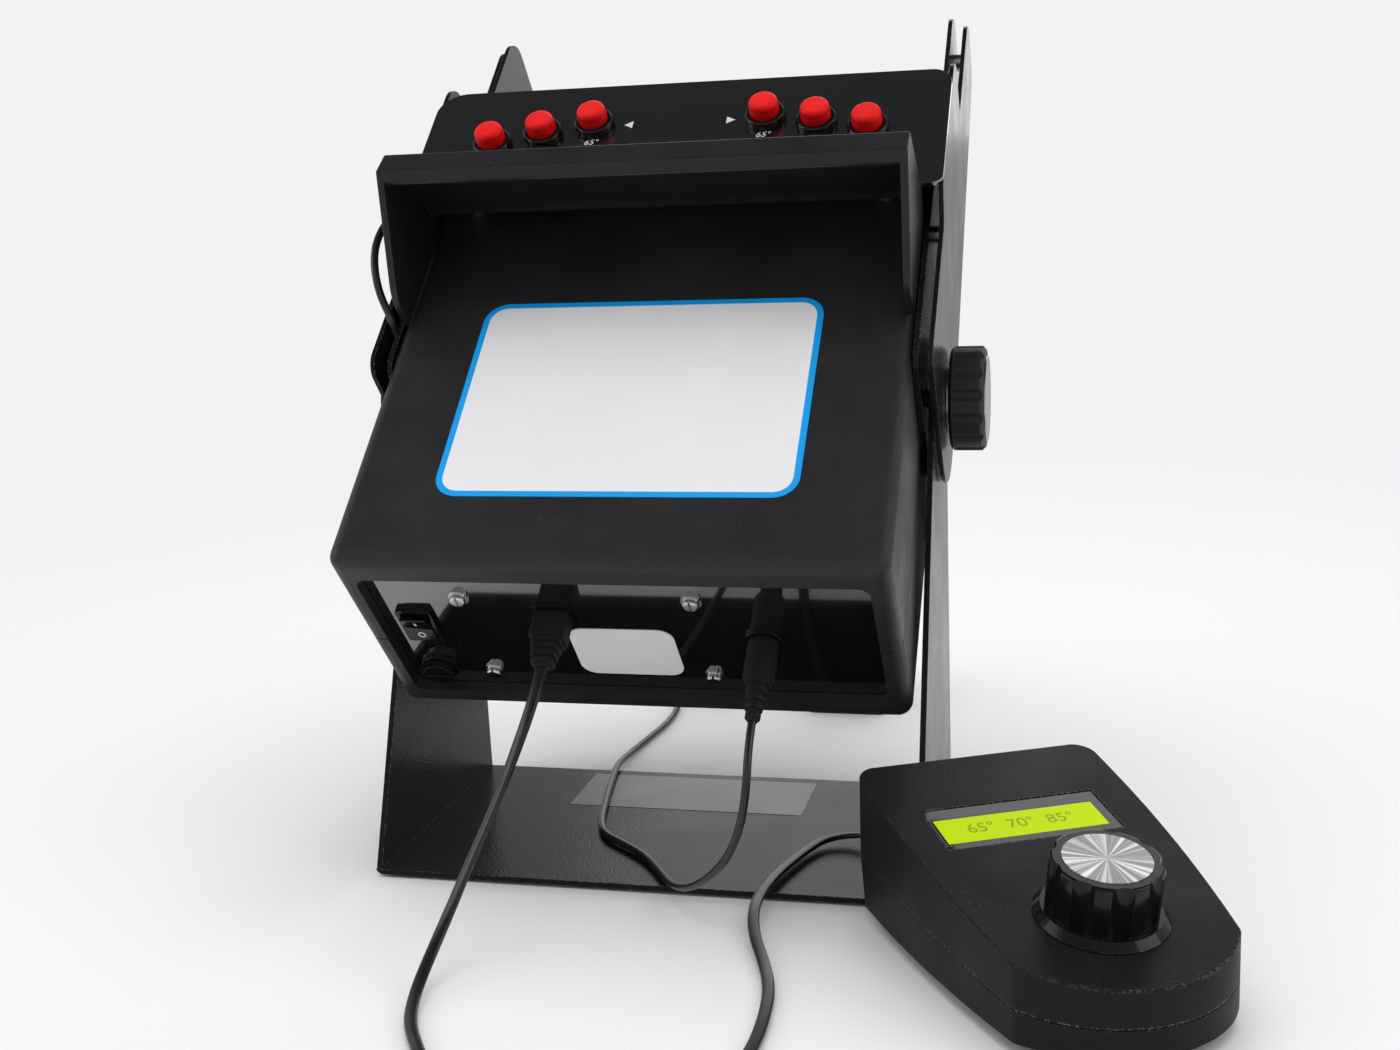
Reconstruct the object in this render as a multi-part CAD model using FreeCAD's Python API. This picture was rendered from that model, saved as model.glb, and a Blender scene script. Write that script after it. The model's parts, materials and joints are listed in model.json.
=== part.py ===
"""Desktop vision screener with a peripheral-vision unit and a wired handset.

The operator stands on the -Y side and the patient looks in from the +Y side.
X points to the operator's right and Z points up. The origin is the centre of
the footprint, on the surface that the rubber mat lies on. Parts of the
tilting head are modelled about the clamp axis, in a frame whose Y runs up the
slope of the case and whose Z is square to its top face, and are then tilted.
"""
import FreeCAD, Part
import math
import os
from FreeCAD import Vector

# Steel stand: one bent sheet, with a tapered upright at each side.
STAND_WIDTH = 228.0
STAND_DEPTH = 134.0
STAND_SHEET = 2.4
STAND_BEND = 3.0
MAT_THICKNESS = 1.2
MAT_INSET = 4.0
PIVOT_Y = 33.0
PIVOT_Z = 188.0
UPRIGHT_TOP_RADIUS = 26.0

# Tilting case.
HEAD_TILT = 42.0
CASE_WIDTH = 216.6
CASE_FRONT = -132.4
CASE_REAR = 125.0
CASE_TOP = 60.1
CASE_BOTTOM = -43.9
CASE_SEAM = 6.0
CASE_WALL = 3.0
CASE_FRONT_WALL = 5.0
CASE_EDGE = 6.0
SEAM_GROOVE = 0.6
BOSS_RADIUS = 5.0
BOSS_SIDE_INSET = 7.0
BOSS_END_INSET = 14.0
SCREW_RADIUS = 1.5

# Recessed control panel in the lower end of the case.
PANEL_OPENING_HALF = 100.0
PANEL_OPENING_LOW = -33.0
PANEL_OPENING_HIGH = 47.0
PANEL_THICKNESS = 3.0
PANEL_OVERLAP = 3.0
STANDOFF_LENGTH = 13.5
BOARD_THICKNESS = 1.6
PANEL_SCREW_X = (-63.3, 30.2)
PANEL_SCREW_Z = (-22.5, 30.0)
SWITCH_PLACE = (-85.7, 11.0)
SWITCH_BEZEL = (15.0, 21.0)
SWITCH_THROW = 7.0
FUSE_PLACE = (-86.5, -20.5)
FUSE_FLANGE_RADIUS = 8.0
DATA_PLACE = (-26.8, 19.3)
POWER_PLACE = (54.4, 4.7)
STICKER_PLACE = (-3.2, -6.7)
STICKER_SIZE = (43.0, 32.5)
LABEL_SIZE = (144.0, 102.7)
LABEL_Y = -49.7
LABEL_CORNER = 11.0
LABEL_THICKNESS = 0.25

# Hood over the upper part of the case.
HOOD_WALL = 3.2
HOOD_FRONT_TOP = (20.3, 119.4)
HOOD_BACK_TOP = (32.0, 118.0)
HOOD_BACK_FOOT = (46.9, 78.5)
HOOD_LIP = 4.0

# Peripheral unit: bent bracket, button panel and side plates.
UNIT_SHEET = 2.0
UNIT_HALF_WIDTH = 117.0
UNIT_TOP = 76.1
UNIT_REAR = 133.5
UNIT_FRONT = 48.0
WING_LOW_TOP = 62.0
WING_REAR = 205.0
WING_FIN_TOP = 42.5
WING_INNER_TOP = 49.5
INNER_PLATE_FACE = 110.8
BUTTON_PANEL_THICKNESS = 2.2
BUTTON_PANEL_HALF = 117.0
BUTTON_PANEL_FRONT = 47.5
BUTTON_PANEL_REAR = 120.0
BUTTON_PLACES = ((38.4, 92.5, "65"), (61.2, 87.5, "70"), (83.6, 82.0, "85"))
BUTTON_CAP_RADIUS = 6.5
BUTTON_CAP_HEIGHT = 6.8
BUTTON_BEZEL_RADIUS = 8.8
BUTTON_BEZEL_HEIGHT = 4.0
BUTTON_BODY_RADIUS = 5.9
BUTTON_STEM_RADIUS = 3.2
LED_RADIUS = 2.5
LED_PLACES = (129.0, 137.5, 158.0)
LED_HEIGHT = 14.0

# Clamp knobs on the tilt axis.
STUD_RADIUS = 4.0
STUD_CLEARANCE = 0.3
KNOB_RADIUS = 22.0
KNOB_LENGTH = 14.4
KNOB_RIBS = 14
KNOB_FLUTE_RADIUS = 3.4
WASHER_RADIUS = 14.0
WASHER_THICKNESS = 1.2
KNOB_DISC_RADIUS = 18.0
KNOB_DISC_THICKNESS = 0.8

# Optics inside the case.
EYE_SPACING = 64.0
EYE_HEIGHT = 8.0
EYEPIECE_RADIUS = 18.0
EYEPIECE_LENGTH = 26.0
EYEPIECE_WALL = 2.0
LENS_THICKNESS = 5.0
MASK_HALF_WIDTH = 72.0
MASK_DEPTH = 26.0
MASK_WALL = 3.0
DRUM_Y = -50.0
DRUM_Z = 8.0
DRUM_RADIUS = 36.0
DRUM_HALF_LENGTH = 30.0
DRUM_WALL = 3.0
DRUM_SLIDES = 12
DRUM_SHAFT_RADIUS = 3.0
MOTOR_SIZE = 35.0
MOTOR_LENGTH = 22.0

# Handset: a wedge that is rounded at the front, standing on four feet.
HANDSET_X = 131.8
HANDSET_Y = -44.6
HANDSET_TURN = 27.5
HANDSET_WIDTH = 98.2
HANDSET_LENGTH = 147.3
HANDSET_SHOULDER = 73.9
HANDSET_SIDE_RADIUS = 640.0
HANDSET_CHEEK = (40.6, 126.9)
HANDSET_CHEEK_RADIUS = 6.0
HANDSET_NOSE_RADIUS = 48.0
HANDSET_BACK_CORNER = 9.0
HANDSET_FOOT = 5.0
HANDSET_FOOT_RADIUS = 5.0
HANDSET_BACK_HEIGHT = 51.6
HANDSET_FRONT_HEIGHT = 23.1
HANDSET_BACK_SEAM = 20.4
HANDSET_FRONT_SEAM = 9.8
HANDSET_UNDERCUT = 11.8
HANDSET_WALL = 2.6
HANDSET_EDGE = 0.8
DISPLAY_PLACE = (-0.7, -48.9)
DISPLAY_WINDOW = (68.4, 26.8)
DISPLAY_GLASS = (66.0, 24.0, 6.0)
DISPLAY_BOARD = (76.0, 34.0, 1.6)
WINDOW_THICKNESS = 1.5
WINDOW_DROP = 0.3
DIAL_PLACE = (-0.6, -110.6)
DIAL_SKIRT_RADIUS = 22.8
DIAL_BODY_RADIUS = 18.8
DIAL_HEIGHT = 21.0
DIAL_FLUTES = 9
DIAL_FLUTE_RADIUS = 6.0
DIAL_FLUTE_DEPTH = 1.8
DIAL_DISC_RADIUS = 15.0
DIAL_SHAFT_RADIUS = 3.0
DIAL_GAP = 0.5
CORD_ENTRY_X = -36.0
CORD_ENTRY_Z = 13.5
CORD_SLEEVE_RADIUS = 4.4
CORD_SLEEVE_LENGTH = 14.0

# Cords.
DATA_CORD = 4.0
POWER_CORD = 3.2
LINK_CORD = 3.3
LINK_ROOT = 1.0
COIL_PLACE = (-24.0, 214.0)
COIL_TURN_RADIUS = 17.6
COIL_TURNS_ACROSS = 3
COIL_TURNS_HIGH = 4
ADAPTER_PLACE = (48.0, 214.0)
ADAPTER_SIZE = (44.0, 62.0, 28.0)
ADAPTER_CORD_Z = 8.0
ADAPTER_SLEEVE = 8.0
CLEARANCE = 0.2
FIT = 0.3


def box(x0, x1, y0, y1, z0, z1):
    """A box between two corners."""
    return Part.makeBox(x1 - x0, y1 - y0, z1 - z0, Vector(x0, y0, z0))


def rod(radius, start, direction, length):
    """A round bar from a start point along a direction."""
    return Part.makeCylinder(radius, length, Vector(*start), Vector(*direction))


def tube(outer, inner, start, direction, length):
    """A round bar with a bore right through."""
    return rod(outer, start, direction, length).cut(rod(inner, start, direction, length))


def fuse_all(solids):
    """One solid from several that meet."""
    whole = solids[0]
    for solid in solids[1:]:
        whole = whole.fuse(solid)
    return whole.removeSplitter()


def rounded_wire(corners, lift):
    """A closed outline whose corners (u, v, radius) are rounded by arcs."""
    arcs = []
    for index, (u, v, radius) in enumerate(corners):
        here = Vector(u, v, 0)
        before = (Vector(*corners[index - 1][:2], 0) - here).normalize()
        after = (Vector(*corners[(index + 1) % len(corners)][:2], 0) - here).normalize()
        half = before.getAngle(after) / 2
        reach = radius / math.tan(half)
        centre = here + (before + after).normalize() * (radius / math.sin(half))
        middle = centre + (here - centre).normalize() * radius
        arcs.append((here + before * reach, middle, here + after * reach, radius))
    edges = []
    for index, (start, middle, end, radius) in enumerate(arcs):
        if radius > 0:
            edges.append(Part.Arc(lift(start), lift(middle), lift(end)).toShape())
        following = arcs[(index + 1) % len(arcs)][0]
        if (following - end).Length > 1e-5:
            edges.append(Part.LineSegment(lift(end), lift(following)).toShape())
    return Part.Wire(edges)


def slab_x(corners, x0, x1):
    """A plate square to X from an outline in (y, z)."""
    face = Part.Face(rounded_wire(corners, lambda p: Vector(x0, p.x, p.y)))
    return face.extrude(Vector(x1 - x0, 0, 0))


def slab_y(corners, y0, y1):
    """A plate square to Y from an outline in (x, z)."""
    face = Part.Face(rounded_wire(corners, lambda p: Vector(p.x, y0, p.y)))
    return face.extrude(Vector(0, y1 - y0, 0))


def slab_z(corners, z0, z1):
    """A plate square to Z from an outline in (x, y)."""
    face = Part.Face(rounded_wire(corners, lambda p: Vector(p.x, p.y, z0)))
    return face.extrude(Vector(0, 0, z1 - z0))


def rectangle(u0, u1, v0, v1, radius=0.0):
    """The four corners of a rectangle with one corner radius."""
    return [(u0, v0, radius), (u1, v0, radius), (u1, v1, radius), (u0, v1, radius)]


def both_sides(solid):
    """The solid and its mirror image on the other side of X = 0."""
    return [solid, solid.mirror(Vector(0, 0, 0), Vector(1, 0, 0))]


def in_head(shape):
    """Tilts a shape modelled about the clamp axis into its place."""
    placed = shape.copy()
    placed.rotate(Vector(0, 0, 0), Vector(1, 0, 0), HEAD_TILT)
    placed.translate(Vector(0, PIVOT_Y, PIVOT_Z))
    return placed


def head_point(x, y, z):
    """A point of the head's frame in the object's frame."""
    turn = math.radians(HEAD_TILT)
    return Vector(x, PIVOT_Y + y * math.cos(turn) - z * math.sin(turn),
                  PIVOT_Z + y * math.sin(turn) + z * math.cos(turn))


# Derived places that several pieces share.
HANDSET_SLOPE = math.degrees(math.atan((HANDSET_BACK_HEIGHT - HANDSET_FRONT_HEIGHT) / HANDSET_LENGTH))
UPRIGHT_FACE = STAND_WIDTH / 2
UPRIGHT_INNER = UPRIGHT_FACE - STAND_SHEET
CASE_HALF = CASE_WIDTH / 2
CASE_INNER_HALF = CASE_HALF - CASE_WALL
CASE_FLOOR = CASE_BOTTOM + CASE_WALL
PANEL_FACE = CASE_FRONT + CASE_FRONT_WALL + CLEARANCE
PANEL_BACK = PANEL_FACE + PANEL_THICKNESS
BUTTON_PANEL_BASE = UNIT_TOP
BUTTON_PANEL_FACE = UNIT_TOP + BUTTON_PANEL_THICKNESS
OUTER_PLATE_INNER = UNIT_HALF_WIDTH - UNIT_SHEET
STUD_BORE = STUD_RADIUS + STUD_CLEARANCE
KNOB_BACK = UNIT_HALF_WIDTH + CLEARANCE + WASHER_THICKNESS + CLEARANCE
KNOB_FRONT = KNOB_BACK + KNOB_LENGTH


def tangent_point(outside, centre, radius, side):
    """Where the line from a point outside a circle touches it."""
    away = outside - centre
    reach = math.acos(radius / away.Length)
    angle = math.atan2(away.y, away.x) + side * reach
    return centre + Vector(math.cos(angle), math.sin(angle), 0) * radius


def upright_plate(x0, x1):
    """A side plate: wide at the base, with a round top about the clamp axis."""
    centre = Vector(PIVOT_Y, PIVOT_Z, 0)
    front = Vector(-STAND_DEPTH / 2, MAT_THICKNESS, 0)
    back = Vector(STAND_DEPTH / 2, MAT_THICKNESS, 0)
    front_touch = tangent_point(front, centre, UPRIGHT_TOP_RADIUS, -1)
    back_touch = tangent_point(back, centre, UPRIGHT_TOP_RADIUS, 1)
    top = centre + Vector(0, UPRIGHT_TOP_RADIUS, 0)
    lift = lambda p: Vector(x0, p.x, p.y)
    outline = Part.Wire([
        Part.LineSegment(lift(front), lift(front_touch)).toShape(),
        Part.Arc(lift(front_touch), lift(top), lift(back_touch)).toShape(),
        Part.LineSegment(lift(back_touch), lift(back)).toShape(),
        Part.LineSegment(lift(back), lift(front)).toShape()])
    return Part.Face(outline).extrude(Vector(x1 - x0, 0, 0))


def stand_frame():
    """The bent steel sheet with its clamp holes and rounded bends."""
    base = box(-UPRIGHT_FACE, UPRIGHT_FACE, -STAND_DEPTH / 2, STAND_DEPTH / 2,
               MAT_THICKNESS, MAT_THICKNESS + STAND_SHEET)
    frame = fuse_all([base] + both_sides(upright_plate(UPRIGHT_INNER, UPRIGHT_FACE)))
    frame = frame.cut(rod(STUD_BORE, (-STAND_WIDTH, PIVOT_Y, PIVOT_Z), (1, 0, 0), 2 * STAND_WIDTH))
    bends = [edge for edge in frame.Edges
             if abs(abs(edge.CenterOfMass.x) - UPRIGHT_FACE) < 0.01
             and abs(edge.CenterOfMass.z - MAT_THICKNESS) < 0.01 and edge.Length > STAND_DEPTH / 2]
    return frame.makeFillet(min(STAND_BEND, STAND_SHEET * 1.25), bends)


def base_mat():
    """The thin rubber mat glued under the base."""
    x = UPRIGHT_FACE - MAT_INSET
    y = STAND_DEPTH / 2 - MAT_INSET
    return slab_z(rectangle(-x, x, -y, y, 3.0), 0.0, MAT_THICKNESS)


def case_shell():
    """Both halves of the case as one hollow box with its openings."""
    outer = box(-CASE_HALF, CASE_HALF, CASE_FRONT, CASE_REAR, CASE_BOTTOM, CASE_TOP)
    outer = outer.makeFillet(CASE_EDGE, outer.Edges)
    inner = box(-CASE_INNER_HALF, CASE_INNER_HALF, CASE_FRONT + CASE_FRONT_WALL,
                CASE_REAR - CASE_WALL, CASE_FLOOR, CASE_TOP - CASE_WALL)
    inner = inner.makeFillet(CASE_EDGE - CASE_WALL, inner.Edges)
    shell = outer.cut(inner)
    opening = rectangle(-PANEL_OPENING_HALF, PANEL_OPENING_HALF,
                        PANEL_OPENING_LOW, PANEL_OPENING_HIGH, 5.0)
    shell = shell.cut(slab_y(opening, CASE_FRONT - 1, CASE_FRONT + CASE_FRONT_WALL + 1))
    groove_half = SEAM_GROOVE / 2
    groove = box(-CASE_HALF - 1, CASE_HALF + 1, CASE_FRONT - 1, CASE_REAR + 1,
                 CASE_SEAM - groove_half, CASE_SEAM + groove_half)
    groove = groove.cut(box(-CASE_HALF + SEAM_GROOVE, CASE_HALF - SEAM_GROOVE,
                            CASE_FRONT + SEAM_GROOVE, CASE_REAR - SEAM_GROOVE,
                            CASE_SEAM - 1, CASE_SEAM + 1))
    shell = shell.cut(groove)
    for x in (-EYE_SPACING / 2, EYE_SPACING / 2):
        shell = shell.cut(rod(EYEPIECE_RADIUS + CLEARANCE, (x, CASE_REAR - 2 * CASE_WALL, EYE_HEIGHT),
                              (0, 1, 0), 4 * CASE_WALL))
    return shell.cut(rod(STUD_BORE, (-CASE_WIDTH, 0, 0), (1, 0, 0), 2 * CASE_WIDTH))


def boss_places():
    """Centres of the four screw bosses that join the case halves."""
    x = CASE_INNER_HALF - BOSS_SIDE_INSET
    return [(sx * x, y) for sx in (-1, 1)
            for y in (CASE_FRONT + CASE_FRONT_WALL + BOSS_END_INSET, CASE_REAR - BOSS_END_INSET)]


def panel_rib(z0, z1):
    """A rib that holds the control panel against the front wall."""
    back = PANEL_BACK + CLEARANCE
    return box(-CASE_INNER_HALF - 0.5, CASE_INNER_HALF + 0.5, back, back + 2.0, z0, z1)


def case_upper():
    """The top half of the case, with its bosses and panel rib."""
    half = case_shell().common(box(-CASE_WIDTH, CASE_WIDTH, 2 * CASE_FRONT, 2 * CASE_REAR,
                                   CASE_SEAM, 2 * CASE_TOP))
    pieces = [half, panel_rib(PANEL_OPENING_HIGH, CASE_TOP - CASE_WALL + 0.5)]
    pieces += [rod(BOSS_RADIUS, (x, y, CASE_SEAM), (0, 0, 1), CASE_TOP - CASE_WALL - CASE_SEAM + 0.5)
               for x, y in boss_places()]
    whole = fuse_all(pieces)
    for x, y in boss_places():
        whole = whole.cut(rod(SCREW_RADIUS + 0.1, (x, y, CASE_SEAM - 1), (0, 0, 1), 16.0))
    return whole


def case_lower():
    """The bottom half of the case, with counterbored bosses."""
    half = case_shell().common(box(-CASE_WIDTH, CASE_WIDTH, 2 * CASE_FRONT, 2 * CASE_REAR,
                                   2 * CASE_BOTTOM, CASE_SEAM))
    pieces = [half, panel_rib(CASE_FLOOR - 0.5, PANEL_OPENING_LOW)]
    pieces += [rod(BOSS_RADIUS, (x, y, CASE_FLOOR - 0.5), (0, 0, 1), CASE_SEAM - CASE_FLOOR + 0.5)
               for x, y in boss_places()]
    whole = fuse_all(pieces)
    for x, y in boss_places():
        whole = whole.cut(rod(SCREW_RADIUS + 0.2, (x, y, CASE_BOTTOM - 1), (0, 0, 1), 2 * CASE_TOP))
        whole = whole.cut(rod(SCREW_RADIUS * 2 + 0.3, (x, y, CASE_BOTTOM - 1), (0, 0, 1), 3.2))
    return whole


def case_screws():
    """Four screws that enter the bosses from below."""
    screws = []
    for x, y in boss_places():
        head = rod(SCREW_RADIUS * 2, (x, y, CASE_BOTTOM + 0.2), (0, 0, 1), 2.0)
        shank = rod(SCREW_RADIUS, (x, y, CASE_BOTTOM + 2.2), (0, 0, 1),
                    CASE_SEAM + 14.0 - CASE_BOTTOM - 2.2)
        screws.append(fuse_all([head, shank]))
    return screws


def control_panel():
    """The glossy plate behind the opening, with the holes for its fittings."""
    outline = rectangle(-PANEL_OPENING_HALF - PANEL_OVERLAP, PANEL_OPENING_HALF + PANEL_OVERLAP,
                        PANEL_OPENING_LOW - PANEL_OVERLAP, PANEL_OPENING_HIGH + PANEL_OVERLAP, 2.0)
    plate = slab_y(outline, PANEL_FACE, PANEL_BACK)
    x, z = SWITCH_PLACE
    half_w, half_h = SWITCH_BEZEL[0] / 2 - 1.0, SWITCH_BEZEL[1] / 2 - 0.8
    plate = plate.cut(box(x - half_w, x + half_w, PANEL_FACE - 1, PANEL_BACK + 1, z - half_h, z + half_h))
    x, z = DATA_PLACE
    plate = plate.cut(box(x - 6.4, x + 6.4, PANEL_FACE - 1, PANEL_BACK + 1, z - 6.4, z + 6.4))
    for (x, z), radius in ((FUSE_PLACE, 6.2), (POWER_PLACE, 5.5)):
        plate = plate.cut(rod(radius, (x, PANEL_FACE - 1, z), (0, 1, 0), PANEL_THICKNESS + 2))
    for x in PANEL_SCREW_X:
        for z in PANEL_SCREW_Z:
            plate = plate.cut(rod(SCREW_RADIUS + 0.2, (x, PANEL_FACE - 1, z), (0, 1, 0),
                                  PANEL_THICKNESS + 2))
    return plate


def panel_fixings():
    """Slotted screws, their washers and the standoffs behind the panel."""
    pieces = []
    for x in PANEL_SCREW_X:
        for z in PANEL_SCREW_Z:
            washer = tube(4.2, SCREW_RADIUS + 0.1, (x, PANEL_FACE - 0.8, z), (0, 1, 0), 0.8)
            head = rod(3.3, (x, PANEL_FACE - 3.2, z), (0, 1, 0), 2.4)
            head = head.makeFillet(1.0, [head.Edges[2]] if head.Edges[2].CenterOfMass.y < PANEL_FACE - 3
                                   else [head.Edges[0]])
            head = head.cut(box(x - 0.45, x + 0.45, PANEL_FACE - 4, PANEL_FACE - 2.2, z - 4, z + 4))
            shank = rod(SCREW_RADIUS, (x, PANEL_FACE - 0.8, z), (0, 1, 0), PANEL_THICKNESS + STANDOFF_LENGTH)
            pieces += [washer, fuse_all([head, shank])]
            pieces.append(tube(3.0, SCREW_RADIUS + 0.1, (x, PANEL_BACK, z), (0, 1, 0), STANDOFF_LENGTH))
    return pieces


def main_board():
    """The circuit board on the standoffs, with its larger components."""
    y0 = PANEL_BACK + STANDOFF_LENGTH
    y1 = y0 + BOARD_THICKNESS
    board = box(-70.0, 70.0, y0, y1, -33.0, 40.0)
    for x in PANEL_SCREW_X:
        for z in PANEL_SCREW_Z:
            board = board.cut(rod(SCREW_RADIUS + 0.2, (x, y0 - 1, z), (0, 1, 0), 4.0))
    parts = [board]
    for x, z, w, h, d in ((-40, -8, 14, 14, 3.0), (0, 22, 22, 8, 6.0), (42, -18, 12, 20, 9.0),
                          (8, -20, 10, 10, 12.0), (-12, -24, 8, 8, 10.0)):
        parts.append(box(x - w / 2, x + w / 2, y1, y1 + d, z - h / 2, z + h / 2))
    return parts


def case_labels():
    """The large label on the top face and the small one on the panel."""
    half = LABEL_SIZE[0] / 2
    top = slab_z(rectangle(-half, half, LABEL_Y - LABEL_SIZE[1] / 2, LABEL_Y + LABEL_SIZE[1] / 2,
                           LABEL_CORNER), CASE_TOP, CASE_TOP + LABEL_THICKNESS)
    x, z = STICKER_PLACE
    half_w, half_h = STICKER_SIZE[0] / 2, STICKER_SIZE[1] / 2
    small = slab_y(rectangle(x - half_w, x + half_w, z - half_h, z + half_h, 7.0),
                   PANEL_FACE - LABEL_THICKNESS, PANEL_FACE)
    return [top, small]


def switch_body():
    """The frame and housing of the rocker switch."""
    x, z = SWITCH_PLACE
    half_w, half_h = SWITCH_BEZEL[0] / 2, SWITCH_BEZEL[1] / 2
    bezel = slab_y(rectangle(x - half_w, x + half_w, z - half_h, z + half_h, 1.5),
                   PANEL_FACE - 2.0, PANEL_FACE)
    rear = box(x - half_w + 1.2, x + half_w - 1.2, PANEL_FACE - 0.1, PANEL_FACE + 16.0,
               z - half_h + 1.0, z + half_h - 1.0)
    hollow = box(x - half_w + 1.8, x + half_w - 1.8, PANEL_FACE - 3.0, PANEL_FACE + 8.0,
                 z - half_h + 1.5, z + half_h - 1.5)
    body = fuse_all([bezel, rear]).cut(hollow)
    return body.cut(rod(1.15, (x - half_w + 1.3, PANEL_FACE - 0.2, z), (1, 0, 0), 2 * half_w - 2.6))


def switch_rocker():
    """The rocker, pressed in at its lower half, on two small pins."""
    x, z = SWITCH_PLACE
    half_w = SWITCH_BEZEL[0] / 2 - 1.8 - 0.25
    reach = SWITCH_BEZEL[1] / 2 - 1.5 - 0.7
    pivot = PANEL_FACE - 0.2
    outline = [(pivot - 3.6, z + reach, 0.6), (pivot - 2.5, z, 6.0), (pivot - 3.6, z - reach, 0.6),
               (pivot + 1.8, z - reach + 1.6, 0.6), (pivot + 1.8, z + reach - 1.6, 0.6)]
    rocker = slab_x(outline, x - half_w, x + half_w)
    pins = rod(1.0, (x - half_w - 0.7, pivot, z), (1, 0, 0), 2 * half_w + 1.4)
    rocker = fuse_all([rocker, pins])
    rocker.rotate(Vector(x, pivot, z), Vector(1, 0, 0), SWITCH_THROW)
    return rocker


def fuse_holder():
    """The round fuse holder behind its flange."""
    x, z = FUSE_PLACE
    flange = rod(FUSE_FLANGE_RADIUS, (x, PANEL_FACE - 1.6, z), (0, 1, 0), 1.6)
    barrel = rod(6.0, (x, PANEL_FACE - 0.1, z), (0, 1, 0), 26.0)
    return fuse_all([flange, barrel]).cut(rod(4.2, (x, PANEL_FACE - 2, z), (0, 1, 0), 20.0))


def fuse_cap():
    """The slotted cap that turns to free the fuse."""
    x, z = FUSE_PLACE
    cap = rod(6.4, (x, PANEL_FACE - 5.2, z), (0, 1, 0), 3.4)
    cap = cap.cut(box(x - 4.6, x + 4.6, PANEL_FACE - 6, PANEL_FACE - 3.6, z - 0.7, z + 0.7))
    shank = rod(3.9, (x, PANEL_FACE - 1.9, z), (0, 1, 0), 14.0)
    return fuse_all([cap, shank])


def modular_socket():
    """The square data socket with its flange and cavity."""
    x, z = DATA_PLACE
    flange = slab_y(rectangle(x - 7.7, x + 7.7, z - 7.3, z + 7.3, 0.8), PANEL_FACE - 1.5, PANEL_FACE)
    body = box(x - 6.2, x + 6.2, PANEL_FACE - 0.1, PANEL_FACE + 15.0, z - 6.2, z + 6.2)
    cavity = box(x - 5.1, x + 5.1, PANEL_FACE - 2, PANEL_FACE + 11.0, z - 3.7, z + 3.7)
    return fuse_all([flange, body]).cut(cavity)


def dc_jack():
    """The round power socket with its nut."""
    x, z = POWER_PLACE
    nut = rod(7.6, (x, PANEL_FACE - 1.5, z), (0, 1, 0), 1.5)
    body = rod(5.3, (x, PANEL_FACE - 0.1, z), (0, 1, 0), 15.0)
    return fuse_all([nut, body]).cut(rod(2.95, (x, PANEL_FACE - 2, z), (0, 1, 0), 13.0))


def modular_plug():
    """The data plug: tongue, body and ribbed boot."""
    x, z = DATA_PLACE
    face = PANEL_FACE - 1.5 - FIT
    tongue = box(x - 4.8, x + 4.8, face - 0.1, face + 10.0, z - 3.4, z + 3.4)
    body = slab_y(rectangle(x - 6.8, x + 6.8, z - 5.2, z + 5.2, 1.2), face - 11.0, face)
    pieces = [tongue, body]
    for rib in range(4):
        half_w, half_h = 6.0 - 0.55 * rib, 4.6 - 0.4 * rib
        start = face - 11.0 - 3.0 * (rib + 1)
        pieces.append(slab_y(rectangle(x - half_w, x + half_w, z - half_h, z + half_h, 1.2),
                             start + 1.1, start + 3.05))
        pieces.append(slab_y(rectangle(x - half_w + 1, x + half_w - 1, z - half_h + 1, z + half_h - 1, 1.2),
                             start, start + 1.15))
    return fuse_all(pieces)


def dc_plug():
    """The power plug: barrel, body and ribbed boot."""
    x, z = POWER_PLACE
    face = PANEL_FACE - 1.5 - FIT
    pieces = [rod(2.7, (x, face - 0.1, z), (0, 1, 0), 9.5),
              rod(6.1, (x, face - 17.0, z), (0, 1, 0), 17.0)]
    for rib in range(5):
        radius = 4.8 - 0.45 * rib
        start = face - 17.0 - 3.6 * (rib + 1)
        pieces.append(rod(radius, (x, start + 1.3, z), (0, 1, 0), 2.35))
        pieces.append(rod(radius - 1.0, (x, start, z), (0, 1, 0), 1.35))
    return fuse_all(pieces)


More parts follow.
